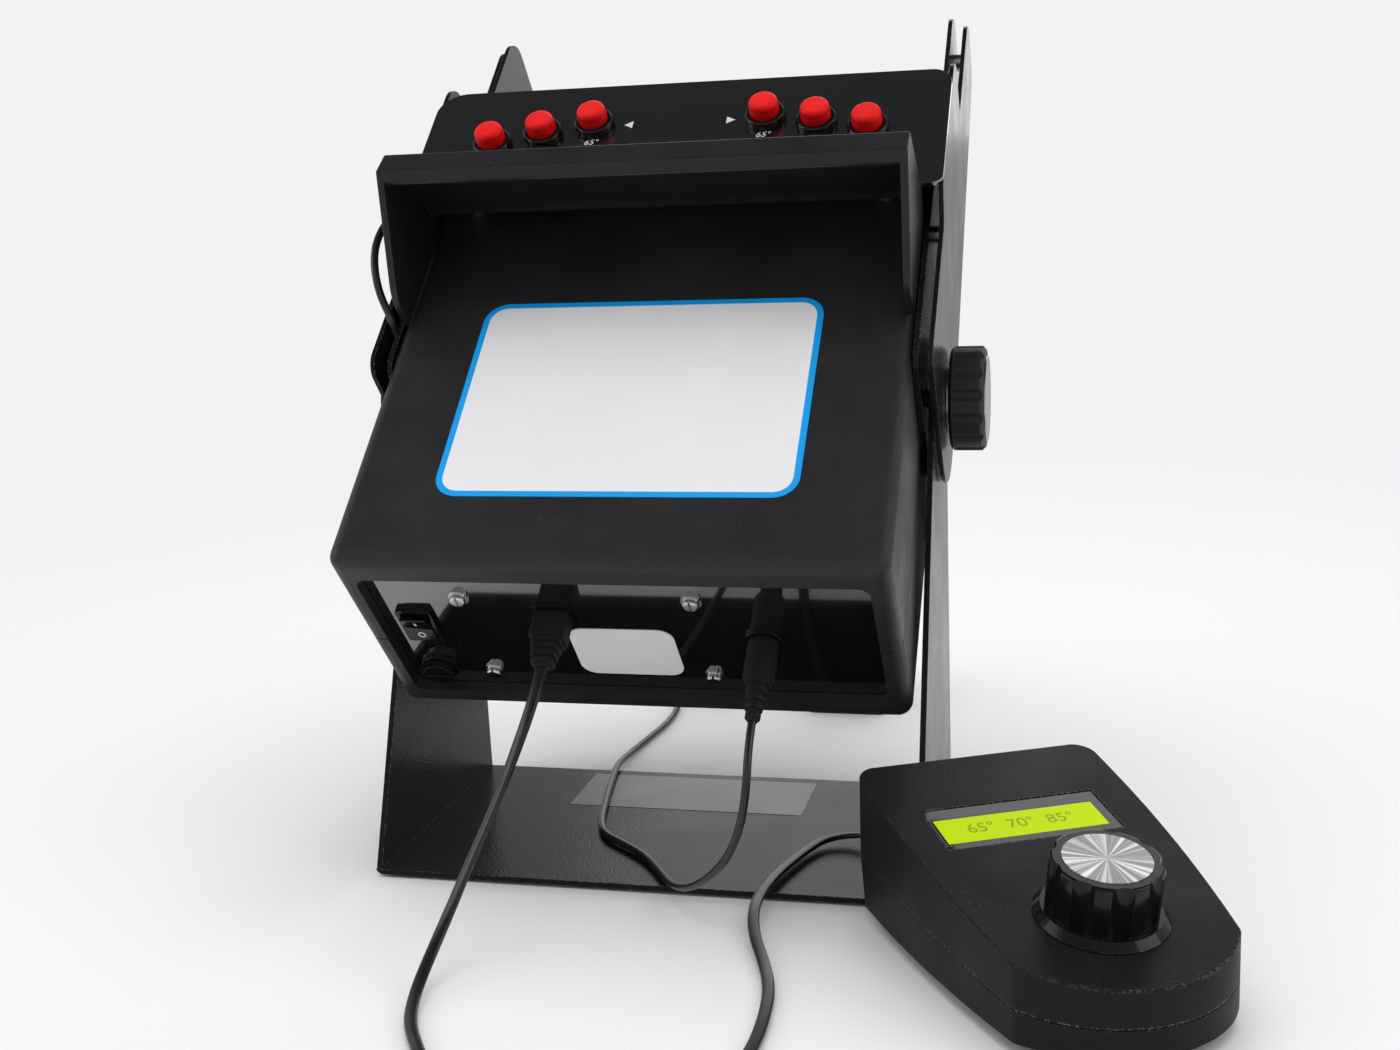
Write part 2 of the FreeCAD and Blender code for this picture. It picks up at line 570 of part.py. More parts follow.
def hood():
    """The moulded hood that stands on the case, open to the operator."""
    foot = CASE_TOP + CLEARANCE
    front_foot = HOOD_FRONT_TOP[0] - 29.8
    outer = [(front_foot, foot, 0.5), (front_foot - 0.6, foot + 15.5, 20.0),
             (HOOD_FRONT_TOP[0], HOOD_FRONT_TOP[1], 1.2), (HOOD_BACK_TOP[0], HOOD_BACK_TOP[1], 1.2),
             (HOOD_BACK_FOOT[0], HOOD_BACK_FOOT[1], 3.0), (HOOD_BACK_FOOT[0], foot, 0.5)]
    block = slab_x(outer, -CASE_HALF, CASE_HALF)
    edges = [edge for edge in block.Edges if abs(edge.CenterOfMass.x) > CASE_HALF - 0.01
             and edge.CenterOfMass.z > foot + 5]
    block = block.makeFillet(1.0, edges)
    low = HOOD_FRONT_TOP[1] - HOOD_LIP
    inner_half = CASE_HALF - HOOD_WALL
    mouth = [(front_foot - 20, foot - 5, 0.5), (front_foot - 20, low, 0.5),
             (HOOD_BACK_TOP[0] - 2.4, low, 3.0), (HOOD_BACK_FOOT[0] - HOOD_WALL, HOOD_BACK_FOOT[1] - 1, 3.0),
             (HOOD_BACK_FOOT[0] - HOOD_WALL, foot - 5, 0.5)]
    hollow = slab_x(mouth, -inner_half, inner_half)
    rear_gap = box(-inner_half, inner_half, HOOD_BACK_FOOT[0] - 2 * HOOD_WALL, HOOD_BACK_FOOT[0] + 5,
                   foot - 5, UNIT_TOP - UNIT_SHEET - 0.5)
    ledge = box(-inner_half - 0.5, inner_half + 0.5, HOOD_FRONT_TOP[0] - 1.0, HOOD_FRONT_TOP[0] + 4.0,
                low - 3.2, low - 1.2)
    web = box(-inner_half - 0.5, inner_half + 0.5, HOOD_FRONT_TOP[0] + 3.0, HOOD_FRONT_TOP[0] + 4.0,
              low - 3.2, low + 0.5)
    return fuse_all([block.cut(hollow).cut(rear_gap), ledge, web])


def eyepiece_tubes():
    """Two tubes that carry the eye lenses through the rear wall."""
    start = CASE_REAR - EYEPIECE_LENGTH / 2
    pieces = []
    for x in (-EYE_SPACING / 2, EYE_SPACING / 2):
        barrel = rod(EYEPIECE_RADIUS, (x, start, EYE_HEIGHT), (0, 1, 0), EYEPIECE_LENGTH)
        flange = rod(EYEPIECE_RADIUS + 3, (x, CASE_REAR + CLEARANCE, EYE_HEIGHT), (0, 1, 0), 2.0)
        whole = fuse_all([barrel, flange])
        bore = EYEPIECE_RADIUS - EYEPIECE_WALL
        whole = whole.cut(rod(bore, (x, start + 6, EYE_HEIGHT), (0, 1, 0), EYEPIECE_LENGTH))
        pieces.append(whole.cut(rod(bore - 2, (x, start - 1, EYE_HEIGHT), (0, 1, 0), 10)))
    return pieces


def eyepiece_lenses():
    """Two convex lenses that rest on the ledges inside the tubes."""
    start = CASE_REAR - EYEPIECE_LENGTH / 2 + 6 + CLEARANCE
    radius = EYEPIECE_RADIUS - EYEPIECE_WALL - CLEARANCE
    bulge = 1.6
    sphere_radius = (radius ** 2 + bulge ** 2) / (2 * bulge)
    lenses = []
    for x in (-EYE_SPACING / 2, EYE_SPACING / 2):
        blank = rod(radius, (x, start, EYE_HEIGHT), (0, 1, 0), LENS_THICKNESS)
        ball = Part.makeSphere(sphere_radius, Vector(x, start + LENS_THICKNESS - sphere_radius, EYE_HEIGHT))
        lenses.append(blank.common(ball))
    return lenses


def face_mask():
    """The rubber shield around the eyepieces, with room for the nose."""
    start = CASE_REAR + CLEARANCE
    outer = [(-MASK_HALF_WIDTH, -22, 14.0), (-20, -30, 8.0), (-9, -8, 8.0), (9, -8, 8.0), (20, -30, 8.0),
             (MASK_HALF_WIDTH, -22, 14.0), (MASK_HALF_WIDTH, 40, 20.0), (-MASK_HALF_WIDTH, 40, 20.0)]
    inner = [(-MASK_HALF_WIDTH + MASK_WALL, -22 + MASK_WALL, 11.0), (-21.5, -26, 5.0), (-11, -5, 6.0),
             (11, -5, 6.0), (21.5, -26, 5.0), (MASK_HALF_WIDTH - MASK_WALL, -22 + MASK_WALL, 11.0),
             (MASK_HALF_WIDTH - MASK_WALL, 40 - MASK_WALL, 17.0),
             (-MASK_HALF_WIDTH + MASK_WALL, 40 - MASK_WALL, 17.0)]
    return slab_y(outer, start, start + MASK_DEPTH).cut(slab_y(inner, start - 1, start + MASK_DEPTH + 1))


def forehead_pad():
    """The padded rest for the forehead above the mask."""
    outline = [(CASE_REAR + FIT, 43.5, 3.0), (CASE_REAR + 16, 43.5, 5.0), (CASE_REAR + 16, 55.0, 5.0),
               (CASE_REAR + FIT, 55.0, 3.0)]
    pad = slab_x(outline, -52, 52)
    ends = [edge for edge in pad.Edges if abs(abs(edge.CenterOfMass.x) - 52) < 0.01]
    return pad.makeFillet(1.5, ends)


def drum_brackets():
    """Two plates that carry the drum shaft above the case floor."""
    plates = []
    for x0 in (-48.0, DRUM_HALF_LENGTH + 8.0):
        outline = [(DRUM_Y - 22, CASE_FLOOR, 0.5), (DRUM_Y + 22, CASE_FLOOR, 0.5),
                   (DRUM_Y + 12, DRUM_Z + 14, 8.0), (DRUM_Y - 12, DRUM_Z + 14, 8.0)]
        plate = slab_x(outline, x0, x0 + 3.5)
        plates.append(plate.cut(rod(DRUM_SHAFT_RADIUS + FIT, (x0 - 1, DRUM_Y, DRUM_Z), (1, 0, 0), 6)))
    return plates


def drum_shaft():
    """The shaft through the drum, from the left bracket into the motor."""
    end = DRUM_HALF_LENGTH + 8.0 + 3.5 + 10.0
    return rod(DRUM_SHAFT_RADIUS, (-50.0, DRUM_Y, DRUM_Z), (1, 0, 0), 50.0 + end)


def test_drum():
    """The drum with one window for each test slide."""
    half = DRUM_HALF_LENGTH
    drum = rod(DRUM_RADIUS, (-half, DRUM_Y, DRUM_Z), (1, 0, 0), 2 * half)
    drum = drum.cut(rod(DRUM_RADIUS - DRUM_WALL, (-half + 2, DRUM_Y, DRUM_Z), (1, 0, 0), 2 * half - 4))
    for index in range(DRUM_SLIDES):
        window = box(-22, 22, DRUM_Y - 6.5, DRUM_Y + 6.5, DRUM_Z + DRUM_RADIUS - 2 * DRUM_WALL,
                     DRUM_Z + DRUM_RADIUS + 2)
        window.rotate(Vector(0, DRUM_Y, DRUM_Z), Vector(1, 0, 0), index * 360.0 / DRUM_SLIDES)
        drum = drum.cut(window)
    return drum.cut(rod(DRUM_SHAFT_RADIUS, (-half - 1, DRUM_Y, DRUM_Z), (1, 0, 0), 2 * half + 2))


def test_slides():
    """The slides in the windows of the drum."""
    slides = []
    for index in range(DRUM_SLIDES):
        slide = box(-22 + CLEARANCE, 22 - CLEARANCE, DRUM_Y - 6.5 + CLEARANCE, DRUM_Y + 6.5 - CLEARANCE,
                    DRUM_Z + DRUM_RADIUS - DRUM_WALL + 0.6, DRUM_Z + DRUM_RADIUS - DRUM_WALL + 1.8)
        slide.rotate(Vector(0, DRUM_Y, DRUM_Z), Vector(1, 0, 0), index * 360.0 / DRUM_SLIDES)
        slides.append(slide)
    return slides


def drum_motor():
    """The square stepper motor on the right bracket."""
    x0 = DRUM_HALF_LENGTH + 8.0 + 3.5
    half = MOTOR_SIZE / 2
    body = slab_x(rectangle(DRUM_Y - half, DRUM_Y + half, DRUM_Z - half, DRUM_Z + half, 3.0),
                  x0, x0 + MOTOR_LENGTH)
    return body.cut(rod(DRUM_SHAFT_RADIUS + FIT, (x0 - 1, DRUM_Y, DRUM_Z), (1, 0, 0), 12.0))


def light_box():
    """The lamp housing and diffuser behind the drum."""
    y0 = DRUM_Y + DRUM_RADIUS + 6.0
    return [box(-45, 45, y0, y0 + 10, CASE_FLOOR, 38), box(-40, 40, y0 - 1.5, y0, CASE_FLOOR + 6, 34)]


def pivot_plates():
    """Steel plates inside the case walls that the studs screw into."""
    outline = rectangle(-20, 20, -20, 20, 4.0)
    plate = slab_x(outline, CASE_INNER_HALF - 4.0 - CLEARANCE, CASE_INNER_HALF - CLEARANCE)
    plate = plate.cut(rod(STUD_RADIUS + 0.1, (CASE_INNER_HALF - 10, 0, 0), (1, 0, 0), 20))
    return both_sides(plate)


def outer_plate_outline():
    """The side plate of the bracket, round about the clamp axis."""
    return [(-34.5, WING_LOW_TOP, 8.0), (UNIT_FRONT - 8, WING_LOW_TOP, 6.0), (UNIT_FRONT, UNIT_TOP, 3.0),
            (UNIT_REAR, UNIT_TOP, 12.0), (UNIT_REAR, WING_FIN_TOP, 3.0), (WING_REAR, WING_FIN_TOP, 12.0),
            (WING_REAR, 6.5, 10.0), (-34.5, -40.5, 31.0)]


def peripheral_bracket():
    """The saddle: a web over the case and a plate outside each upright."""
    plates = both_sides(slab_x(outer_plate_outline(), OUTER_PLATE_INNER, UNIT_HALF_WIDTH))
    web = box(-UNIT_HALF_WIDTH, UNIT_HALF_WIDTH, UNIT_FRONT + 4, UNIT_REAR - 14,
              UNIT_TOP - UNIT_SHEET, UNIT_TOP)
    saddle = fuse_all([web] + plates)
    for side in (-1, 1):
        for x, y, _ in BUTTON_PLACES:
            start = (side * x, y, UNIT_TOP - 5)
            saddle = saddle.cut(rod(BUTTON_BODY_RADIUS + CLEARANCE, start, (0, 0, 1), 10))
    return saddle.cut(rod(STUD_BORE, (-STAND_WIDTH, 0, 0), (1, 0, 0), 2 * STAND_WIDTH))


def wing_plates():
    """The inner side plates, which carry the side lamps."""
    outline = [(-33.0, CASE_TOP - 1.5, 8.0), (UNIT_REAR - 20, CASE_TOP - 1.5, 10.0),
               (UNIT_REAR + 4, WING_INNER_TOP, 10.0), (WING_REAR - 2, WING_INNER_TOP, 14.0),
               (WING_REAR - 2, 8.0, 10.0), (-33.0, -38.0, 30.0)]
    plate = slab_x(outline, INNER_PLATE_FACE - UNIT_SHEET, INNER_PLATE_FACE)
    plate = plate.cut(rod(STUD_BORE, (CASE_HALF, 0, 0), (1, 0, 0), 10))
    for y in LED_PLACES:
        plate = plate.cut(rod(LED_RADIUS + 0.1, (CASE_HALF - 5, y, LED_HEIGHT), (1, 0, 0), 20))
    return both_sides(plate)


def unit_spacers():
    """Sleeves between the side plates and posts under the saddle's web."""
    gap = OUTER_PLATE_INNER - INNER_PLATE_FACE
    sleeves = [tube(4.0, 1.7, (INNER_PLATE_FACE, y, z), (1, 0, 0), gap)
               for y, z in ((64.0, 34.0), (120.0, 30.0), (186.0, 30.0))]
    height = UNIT_TOP - UNIT_SHEET - CASE_TOP
    posts = [tube(5.0, 1.7, (92.0, y, CASE_TOP), (0, 0, 1), height) for y in (62.0, 110.0)]
    return [piece for solid in sleeves + posts for piece in both_sides(solid)]


def peripheral_leds():
    """Three side lamps at each temple."""
    lamps = []
    for y in LED_PLACES:
        flange = rod(LED_RADIUS + 0.6, (INNER_PLATE_FACE, y, LED_HEIGHT), (1, 0, 0), 1.0)
        neck = rod(LED_RADIUS, (INNER_PLATE_FACE - UNIT_SHEET - 2.0, y, LED_HEIGHT), (1, 0, 0),
                   UNIT_SHEET + 2.05)
        dome = Part.makeSphere(LED_RADIUS, Vector(INNER_PLATE_FACE - UNIT_SHEET - 2.0, y, LED_HEIGHT))
        lamps += both_sides(fuse_all([flange, neck, dome]))
    return lamps


def button_panel():
    """The glossy plate that carries the six push buttons."""
    outline = [(-BUTTON_PANEL_HALF, BUTTON_PANEL_FRONT, 5.0), (BUTTON_PANEL_HALF, BUTTON_PANEL_FRONT, 5.0),
               (BUTTON_PANEL_HALF, BUTTON_PANEL_REAR, 9.0), (-BUTTON_PANEL_HALF, BUTTON_PANEL_REAR, 13.0)]
    plate = slab_z(outline, BUTTON_PANEL_BASE, BUTTON_PANEL_FACE)
    for side in (-1, 1):
        for x, y, _ in BUTTON_PLACES:
            plate = plate.cut(rod(BUTTON_BODY_RADIUS + CLEARANCE, (side * x, y, UNIT_TOP - 1), (0, 0, 1), 10))
    return plate


def button_housings():
    """The threaded bodies and bezels of the push buttons."""
    housings = []
    low = UNIT_TOP - 10.1
    for side in (-1, 1):
        for x, y, _ in BUTTON_PLACES:
            bezel = rod(BUTTON_BEZEL_RADIUS, (side * x, y, BUTTON_PANEL_FACE), (0, 0, 1), BUTTON_BEZEL_HEIGHT)
            bezel = bezel.makeChamfer(1.0, [edge for edge in bezel.Edges
                                            if edge.CenterOfMass.z > BUTTON_PANEL_FACE + 1 and edge.Closed])
            body = rod(BUTTON_BODY_RADIUS, (side * x, y, low), (0, 0, 1), BUTTON_PANEL_FACE - low + 0.1)
            whole = fuse_all([bezel, body])
            start = (side * x, y, BUTTON_PANEL_FACE + 0.7)
            whole = whole.cut(rod(BUTTON_CAP_RADIUS + FIT, start, (0, 0, 1), 9))
            housings.append(whole.cut(rod(BUTTON_STEM_RADIUS + FIT, (side * x, y, low + 1), (0, 0, 1), 20)))
    return housings


def red_button(x, y):
    """One red cap with its stem."""
    base = BUTTON_PANEL_FACE + BUTTON_BEZEL_HEIGHT - 0.4
    cap = rod(BUTTON_CAP_RADIUS, (x, y, base), (0, 0, 1), BUTTON_CAP_HEIGHT)
    rim = [edge for edge in cap.Edges if edge.Closed and edge.CenterOfMass.z > base + 1]
    cap = cap.makeFillet(1.4, rim)
    stem = rod(BUTTON_STEM_RADIUS, (x, y, base - 9.0), (0, 0, 1), 9.05)
    return fuse_all([cap, stem])


def peripheral_board():
    """The long circuit board under the buttons."""
    top = UNIT_TOP - 10.1 - FIT
    return box(-98, 98, BUTTON_PLACES[2][1] - 10, BUTTON_PLACES[0][1] + 10, top - 1.6, top)


def clamp_knob(side):
    """The ribbed plastic body of a clamp knob."""
    knob = rod(KNOB_RADIUS, (KNOB_BACK, 0, 0), (1, 0, 0), KNOB_LENGTH)
    knob = knob.makeChamfer(1.4, [edge for edge in knob.Edges if edge.Closed])
    for index in range(KNOB_RIBS):
        turn = 2 * math.pi * index / KNOB_RIBS
        reach = KNOB_RADIUS + KNOB_FLUTE_RADIUS - 1.3
        flute = rod(KNOB_FLUTE_RADIUS, (KNOB_BACK + 2.2, reach * math.cos(turn), reach * math.sin(turn)),
                    (1, 0, 0), KNOB_LENGTH)
        knob = knob.cut(flute)
    knob = knob.cut(rod(STUD_RADIUS, (KNOB_BACK - 1, 0, 0), (1, 0, 0), KNOB_LENGTH + 2))
    return both_sides(knob)[0 if side > 0 else 1]


def clamp_core(side):
    """The stud with its bright end disc, and the washer under the knob."""
    start = CASE_INNER_HALF - 8.0
    stud = rod(STUD_RADIUS, (start, 0, 0), (1, 0, 0), KNOB_FRONT - start + 0.1)
    disc = rod(KNOB_DISC_RADIUS, (KNOB_FRONT, 0, 0), (1, 0, 0), KNOB_DISC_THICKNESS)
    washer = tube(WASHER_RADIUS, STUD_RADIUS + 0.05, (UNIT_HALF_WIDTH + CLEARANCE, 0, 0), (1, 0, 0),
                  WASHER_THICKNESS)
    pick = 0 if side > 0 else 1
    return [both_sides(fuse_all([stud, disc]))[pick], both_sides(washer)[pick]]


def on_desk(shape):
    """Places a shape of the handset's frame, whose -Y is its front."""
    placed = shape.copy()
    placed.rotate(Vector(0, 0, 0), Vector(0, 0, 1), HANDSET_TURN)
    placed.translate(Vector(HANDSET_X, HANDSET_Y, 0))
    return placed


def on_handset_top(shape):
    """Places a shape modelled on a flat plane onto the sloping top."""
    placed = shape.copy()
    placed.rotate(Vector(0, 0, 0), Vector(1, 0, 0), HANDSET_SLOPE)
    placed.translate(Vector(0, 0, HANDSET_FOOT + HANDSET_BACK_HEIGHT))
    return placed


def handset_outline(inset):
    """The plan of the handset as a face, drawn in by an inset."""
    half = HANDSET_WIDTH / 2
    cheek_x, cheek_y = HANDSET_CHEEK
    chord = HANDSET_LENGTH - cheek_y
    sweep = math.atan2(cheek_x, (cheek_x ** 2 - chord ** 2) / 2 / chord)
    tip = HANDSET_LENGTH + HANDSET_NOSE_RADIUS * (1 / math.cos(sweep) - 1)
    right = [(half, 0, HANDSET_BACK_CORNER), (half, -HANDSET_SHOULDER, HANDSET_SIDE_RADIUS),
             (cheek_x, -cheek_y, HANDSET_CHEEK_RADIUS)]
    left = [(-x, y, radius) for x, y, radius in reversed(right)]
    corners = right + [(0, -tip, HANDSET_NOSE_RADIUS)] + left
    face = Part.Face(rounded_wire(corners, lambda p: Vector(p.x, p.y, HANDSET_FOOT)))
    return face.makeOffset2D(-inset) if inset else face


def below_slope(back_height, front_height):
    """Everything under a plane that falls from the back to the front."""
    reach = 40.0
    fall = (back_height - front_height) / HANDSET_LENGTH
    corners = [(reach, -100), (reach, back_height + fall * reach),
               (-HANDSET_LENGTH - reach, front_height - fall * reach), (-HANDSET_LENGTH - reach, -100)]
    points = [Vector(-100, y, HANDSET_FOOT + z) for y, z in corners]
    return Part.Face(Part.makePolygon(points + points[:1])).extrude(Vector(200, 0, 0))


def back_wall_y(z):
    """Where the leaning back wall is at a height above the desk."""
    return -HANDSET_UNDERCUT * (HANDSET_FOOT + HANDSET_BACK_HEIGHT - z) / HANDSET_BACK_HEIGHT


def before_back_wall(inset):
    """Everything in front of the back wall, which leans out at its top."""
    corners = [(back_wall_y(z) - inset, z) for z in (0.0, HANDSET_FOOT + HANDSET_BACK_HEIGHT + 40)]
    corners += [(-HANDSET_LENGTH - 50, corners[1][1]), (-HANDSET_LENGTH - 50, 0.0)]
    points = [Vector(-100, y, z) for y, z in corners]
    return Part.Face(Part.makePolygon(points + points[:1])).extrude(Vector(200, 0, 0))


def handset_body(inset, drop):
    """The wedge of the handset, drawn in all round and lowered."""
    block = handset_outline(inset).extrude(Vector(0, 0, 100))
    block.translate(Vector(0, 0, drop if inset else 0))
    block = block.common(below_slope(HANDSET_BACK_HEIGHT - drop, HANDSET_FRONT_HEIGHT - drop))
    return block.common(before_back_wall(inset))


def handset_shell():
    """Both halves of the handset as one hollow wedge."""
    outer = handset_body(0.0, 0.0)
    top = [edge for edge in outer.Edges
           if min(v.Z for v in edge.Vertexes) > HANDSET_FOOT + HANDSET_FRONT_HEIGHT - 1]
    outer = outer.makeFillet(HANDSET_EDGE, top)
    return outer.cut(handset_body(HANDSET_WALL, HANDSET_WALL))


def display_box(width, height, z0, z1):
    """A box that is centred on the display."""
    x, y = DISPLAY_PLACE
    return box(x - width / 2, x + width / 2, y - height / 2, y + height / 2, z0, z1)


def handset_upper_shell():
    """The upper shell, with its display window and dial hole."""
    shell = handset_shell().cut(below_slope(HANDSET_BACK_SEAM + 0.15, HANDSET_FRONT_SEAM + 0.15))
    window = display_box(*DISPLAY_WINDOW, -10, 5)
    hole = rod(DIAL_SHAFT_RADIUS + 1.2, (*DIAL_PLACE, -10), (0, 0, 1), 15)
    shell = shell.cut(on_handset_top(window)).cut(on_handset_top(hole))
    return shell.cut(cord_entry(FIT))


def handset_lower_shell():
    """The lower shell, with four bosses for the screws."""
    seam = below_slope(HANDSET_BACK_SEAM - 0.15, HANDSET_FRONT_SEAM - 0.15)
    shell = handset_shell().common(seam)
    for x, y in handset_foot_places():
        boss = rod(4.0, (x, y, HANDSET_FOOT + HANDSET_WALL - 0.3), (0, 0, 1), 40).common(seam)
        shell = shell.fuse(boss)
        shell = shell.cut(rod(SCREW_RADIUS + 0.1, (x, y, HANDSET_FOOT + 1), (0, 0, 1), 30))
    return shell.removeSplitter().cut(cord_entry(FIT))


def handset_foot_places():
    """Centres of the four feet, clear of the stand's base."""
    return [(-30, -38), (30, -38), (-26, -120), (26, -120)]


def handset_feet():
    """Four rubber feet with the screws that hold them and the shell."""
    pieces = []
    for x, y in handset_foot_places():
        foot = rod(HANDSET_FOOT_RADIUS, (x, y, 0), (0, 0, 1), HANDSET_FOOT)
        pieces.append(foot.cut(rod(3.0, (x, y, -1), (0, 0, 1), 3.0)))
    return pieces


CORD_SLEEVE_TIP = back_wall_y(CORD_ENTRY_Z + CORD_SLEEVE_RADIUS) + CLEARANCE + CORD_SLEEVE_LENGTH


def cord_entry(clearance):
    """The neck of the strain relief in the back wall of the handset."""
    start = back_wall_y(CORD_ENTRY_Z - CORD_SLEEVE_RADIUS) - HANDSET_WALL - 2.0
    end = CORD_SLEEVE_TIP - CORD_SLEEVE_LENGTH + 0.5
    return rod(3.2 + clearance, (CORD_ENTRY_X, start, CORD_ENTRY_Z), (0, 1, 0), end - start)


def handset_strain_relief():
    """The tapered sleeve where the data cord enters the handset."""
    base = Vector(CORD_ENTRY_X, CORD_SLEEVE_TIP - CORD_SLEEVE_LENGTH, CORD_ENTRY_Z)
    cone = Part.makeCone(CORD_SLEEVE_RADIUS, 2.9, CORD_SLEEVE_LENGTH, base, Vector(0, 1, 0))
    start = back_wall_y(CORD_ENTRY_Z - CORD_SLEEVE_RADIUS) - HANDSET_WALL - 2.0
    collar = rod(CORD_SLEEVE_RADIUS, (CORD_ENTRY_X, start, CORD_ENTRY_Z), (0, 1, 0), 1.6)
    return fuse_all([cord_entry(0.0), cone, collar])


def handset_window():
    """The dark window plate, flush in the top of the handset."""
    width, height = DISPLAY_WINDOW
    foot = -WINDOW_DROP - WINDOW_THICKNESS
    return display_box(width - 2 * CLEARANCE, height - 2 * CLEARANCE, foot, -WINDOW_DROP)


def handset_display():
    """The display module with its circuit board under the window."""
    top = -WINDOW_DROP - WINDOW_THICKNESS - CLEARANCE
    foot = top - DISPLAY_GLASS[2]
    glass = display_box(*DISPLAY_GLASS[:2], foot, top)
    board = display_box(*DISPLAY_BOARD[:2], foot - DISPLAY_BOARD[2], foot)
    return [glass, board]


def handset_encoder():
    """The rotary encoder under the dial, held by its nut."""
    x, y = DIAL_PLACE
    body = box(x - 6.5, x + 6.5, y - 6.5, y + 6.5, -HANDSET_WALL - 6.5, -HANDSET_WALL - CLEARANCE)
    bush = rod(DIAL_SHAFT_RADIUS + 0.9, (x, y, -HANDSET_WALL - 1), (0, 0, 1), HANDSET_WALL + 2.4)
    shaft = rod(DIAL_SHAFT_RADIUS, (x, y, 0), (0, 0, 1), 14.0)
    return fuse_all([body, bush, shaft])


def handset_dial():
    """The fluted dial with its wide skirt."""
    x, y = DIAL_PLACE
    skirt = Part.makeCone(DIAL_SKIRT_RADIUS, DIAL_SKIRT_RADIUS - 2.5, 2.6, Vector(x, y, DIAL_GAP))
    body = rod(DIAL_BODY_RADIUS, (x, y, DIAL_GAP + 2.5), (0, 0, 1), DIAL_HEIGHT - 2.5)
    rim = [edge for edge in body.Edges if edge.Closed and edge.CenterOfMass.z > DIAL_HEIGHT / 2]
    body = body.makeFillet(1.2, rim)
    reach = DIAL_BODY_RADIUS + DIAL_FLUTE_RADIUS - DIAL_FLUTE_DEPTH
    for index in range(DIAL_FLUTES):
        turn = 2 * math.pi * (index + 0.5) / DIAL_FLUTES
        place = (x + reach * math.cos(turn), y + reach * math.sin(turn), DIAL_GAP + 2.6)
        body = body.cut(rod(DIAL_FLUTE_RADIUS, place, (0, 0, 1), DIAL_HEIGHT))
    dial = fuse_all([skirt, body])
    dial = dial.cut(rod(DIAL_SHAFT_RADIUS + FIT, (x, y, -1), (0, 0, 1), 15.5))
    dial = dial.cut(rod(DIAL_SHAFT_RADIUS + 2.2, (x, y, -1), (0, 0, 1), 4.0))
    return dial.cut(rod(DIAL_DISC_RADIUS + 0.05, (x, y, DIAL_GAP + DIAL_HEIGHT - 0.6), (0, 0, 1), 3))


def handset_dial_disc():
    """The bright disc let into the top of the dial."""
    return rod(DIAL_DISC_RADIUS, (*DIAL_PLACE, DIAL_GAP + DIAL_HEIGHT - 0.6), (0, 0, 1), 0.9)


def cord_tube(name, points, diameter):
    """A tube along straight runs that large tangent arcs join."""
    radii = []
    edges = []
    previous = points[0]
    for before, here, after in zip(points, points[1:], points[2:]):
        back, ahead = before - here, after - here
        turn = math.pi - back.getAngle(ahead)
        reach = 0.45 * min(back.Length, ahead.Length)
        radii.append(reach / math.tan(turn / 2))
        start = here + back.normalize() * reach
        end = here + ahead.normalize() * reach
        inward = (back + ahead).normalize()
        middle = here + inward * (radii[-1] / math.cos(turn / 2) - radii[-1])
        edges.append(Part.LineSegment(previous, start).toShape())
        edges.append(Part.Arc(start, middle, end).toShape())
        previous = end
    edges.append(Part.LineSegment(previous, points[-1]).toShape())
    spine = Part.Wire(edges)
    section = Part.Wire([Part.Circle(points[0], points[1] - points[0], diameter / 2).toShape()])
    solid = spine.makePipeShell([section], True, False)
    expected = math.pi * diameter ** 2 / 4 * spine.Length
    print(name, "radii", " ".join("%.0f" % radius for radius in radii))
    print(name, "length %.0f" % spine.Length, "least radius %.1f" % min(radii),
          "volume ratio %.4f" % (solid.Volume / expected))
    return solid


def data_cord():
    """The data cord from its plug, over the desk to the handset."""
    x, z = DATA_PLACE
    exit_y = PANEL_FACE - 1.5 - FIT - 11.0 - 12.0
    entry = on_desk(Part.Vertex(CORD_ENTRY_X, CORD_SLEEVE_TIP, CORD_ENTRY_Z)).Point
    lead_in = on_desk(Part.Vertex(CORD_ENTRY_X, CORD_SLEEVE_TIP + 10, CORD_ENTRY_Z)).Point
    points = [head_point(x, exit_y, z), head_point(x, exit_y - 14, z)]
    points += [Vector(*p) for p in (
        (-32, -117, 71), (-38, -124, 54), (-44.5, -131.5, 38), (-50, -141, 22), (-53, -154, 10.5),
        (-52.5, -171, 3.8), (-47, -190, 2.4), (-36, -208, 2.3), (-24, -226, 2.3), (-5, -242, 2.3),
        (18, -248, 2.3), (42, -243, 2.3), (60, -228, 2.3), (69, -208, 2.3), (72, -187, 2.3),
        (71.5, -165, 2.3), (69, -144, 2.3), (63, -125, 2.6), (56.5, -109, 4.4), (52.5, -92, 6.6),
        (52, -75, 6.8), (54, -57, 6.4), (58, -40, 6.2), (62.6, -25.5, 6.2), (67.4, -15, 6.5),
        (77.1, -10.1, 7.3), (87.6, -12.9, 8.8), (93.6, -21.9, 10.8), (95.2, -32, 12.6))]
    return cord_tube("data_cord", points + [lead_in, entry], DATA_CORD)


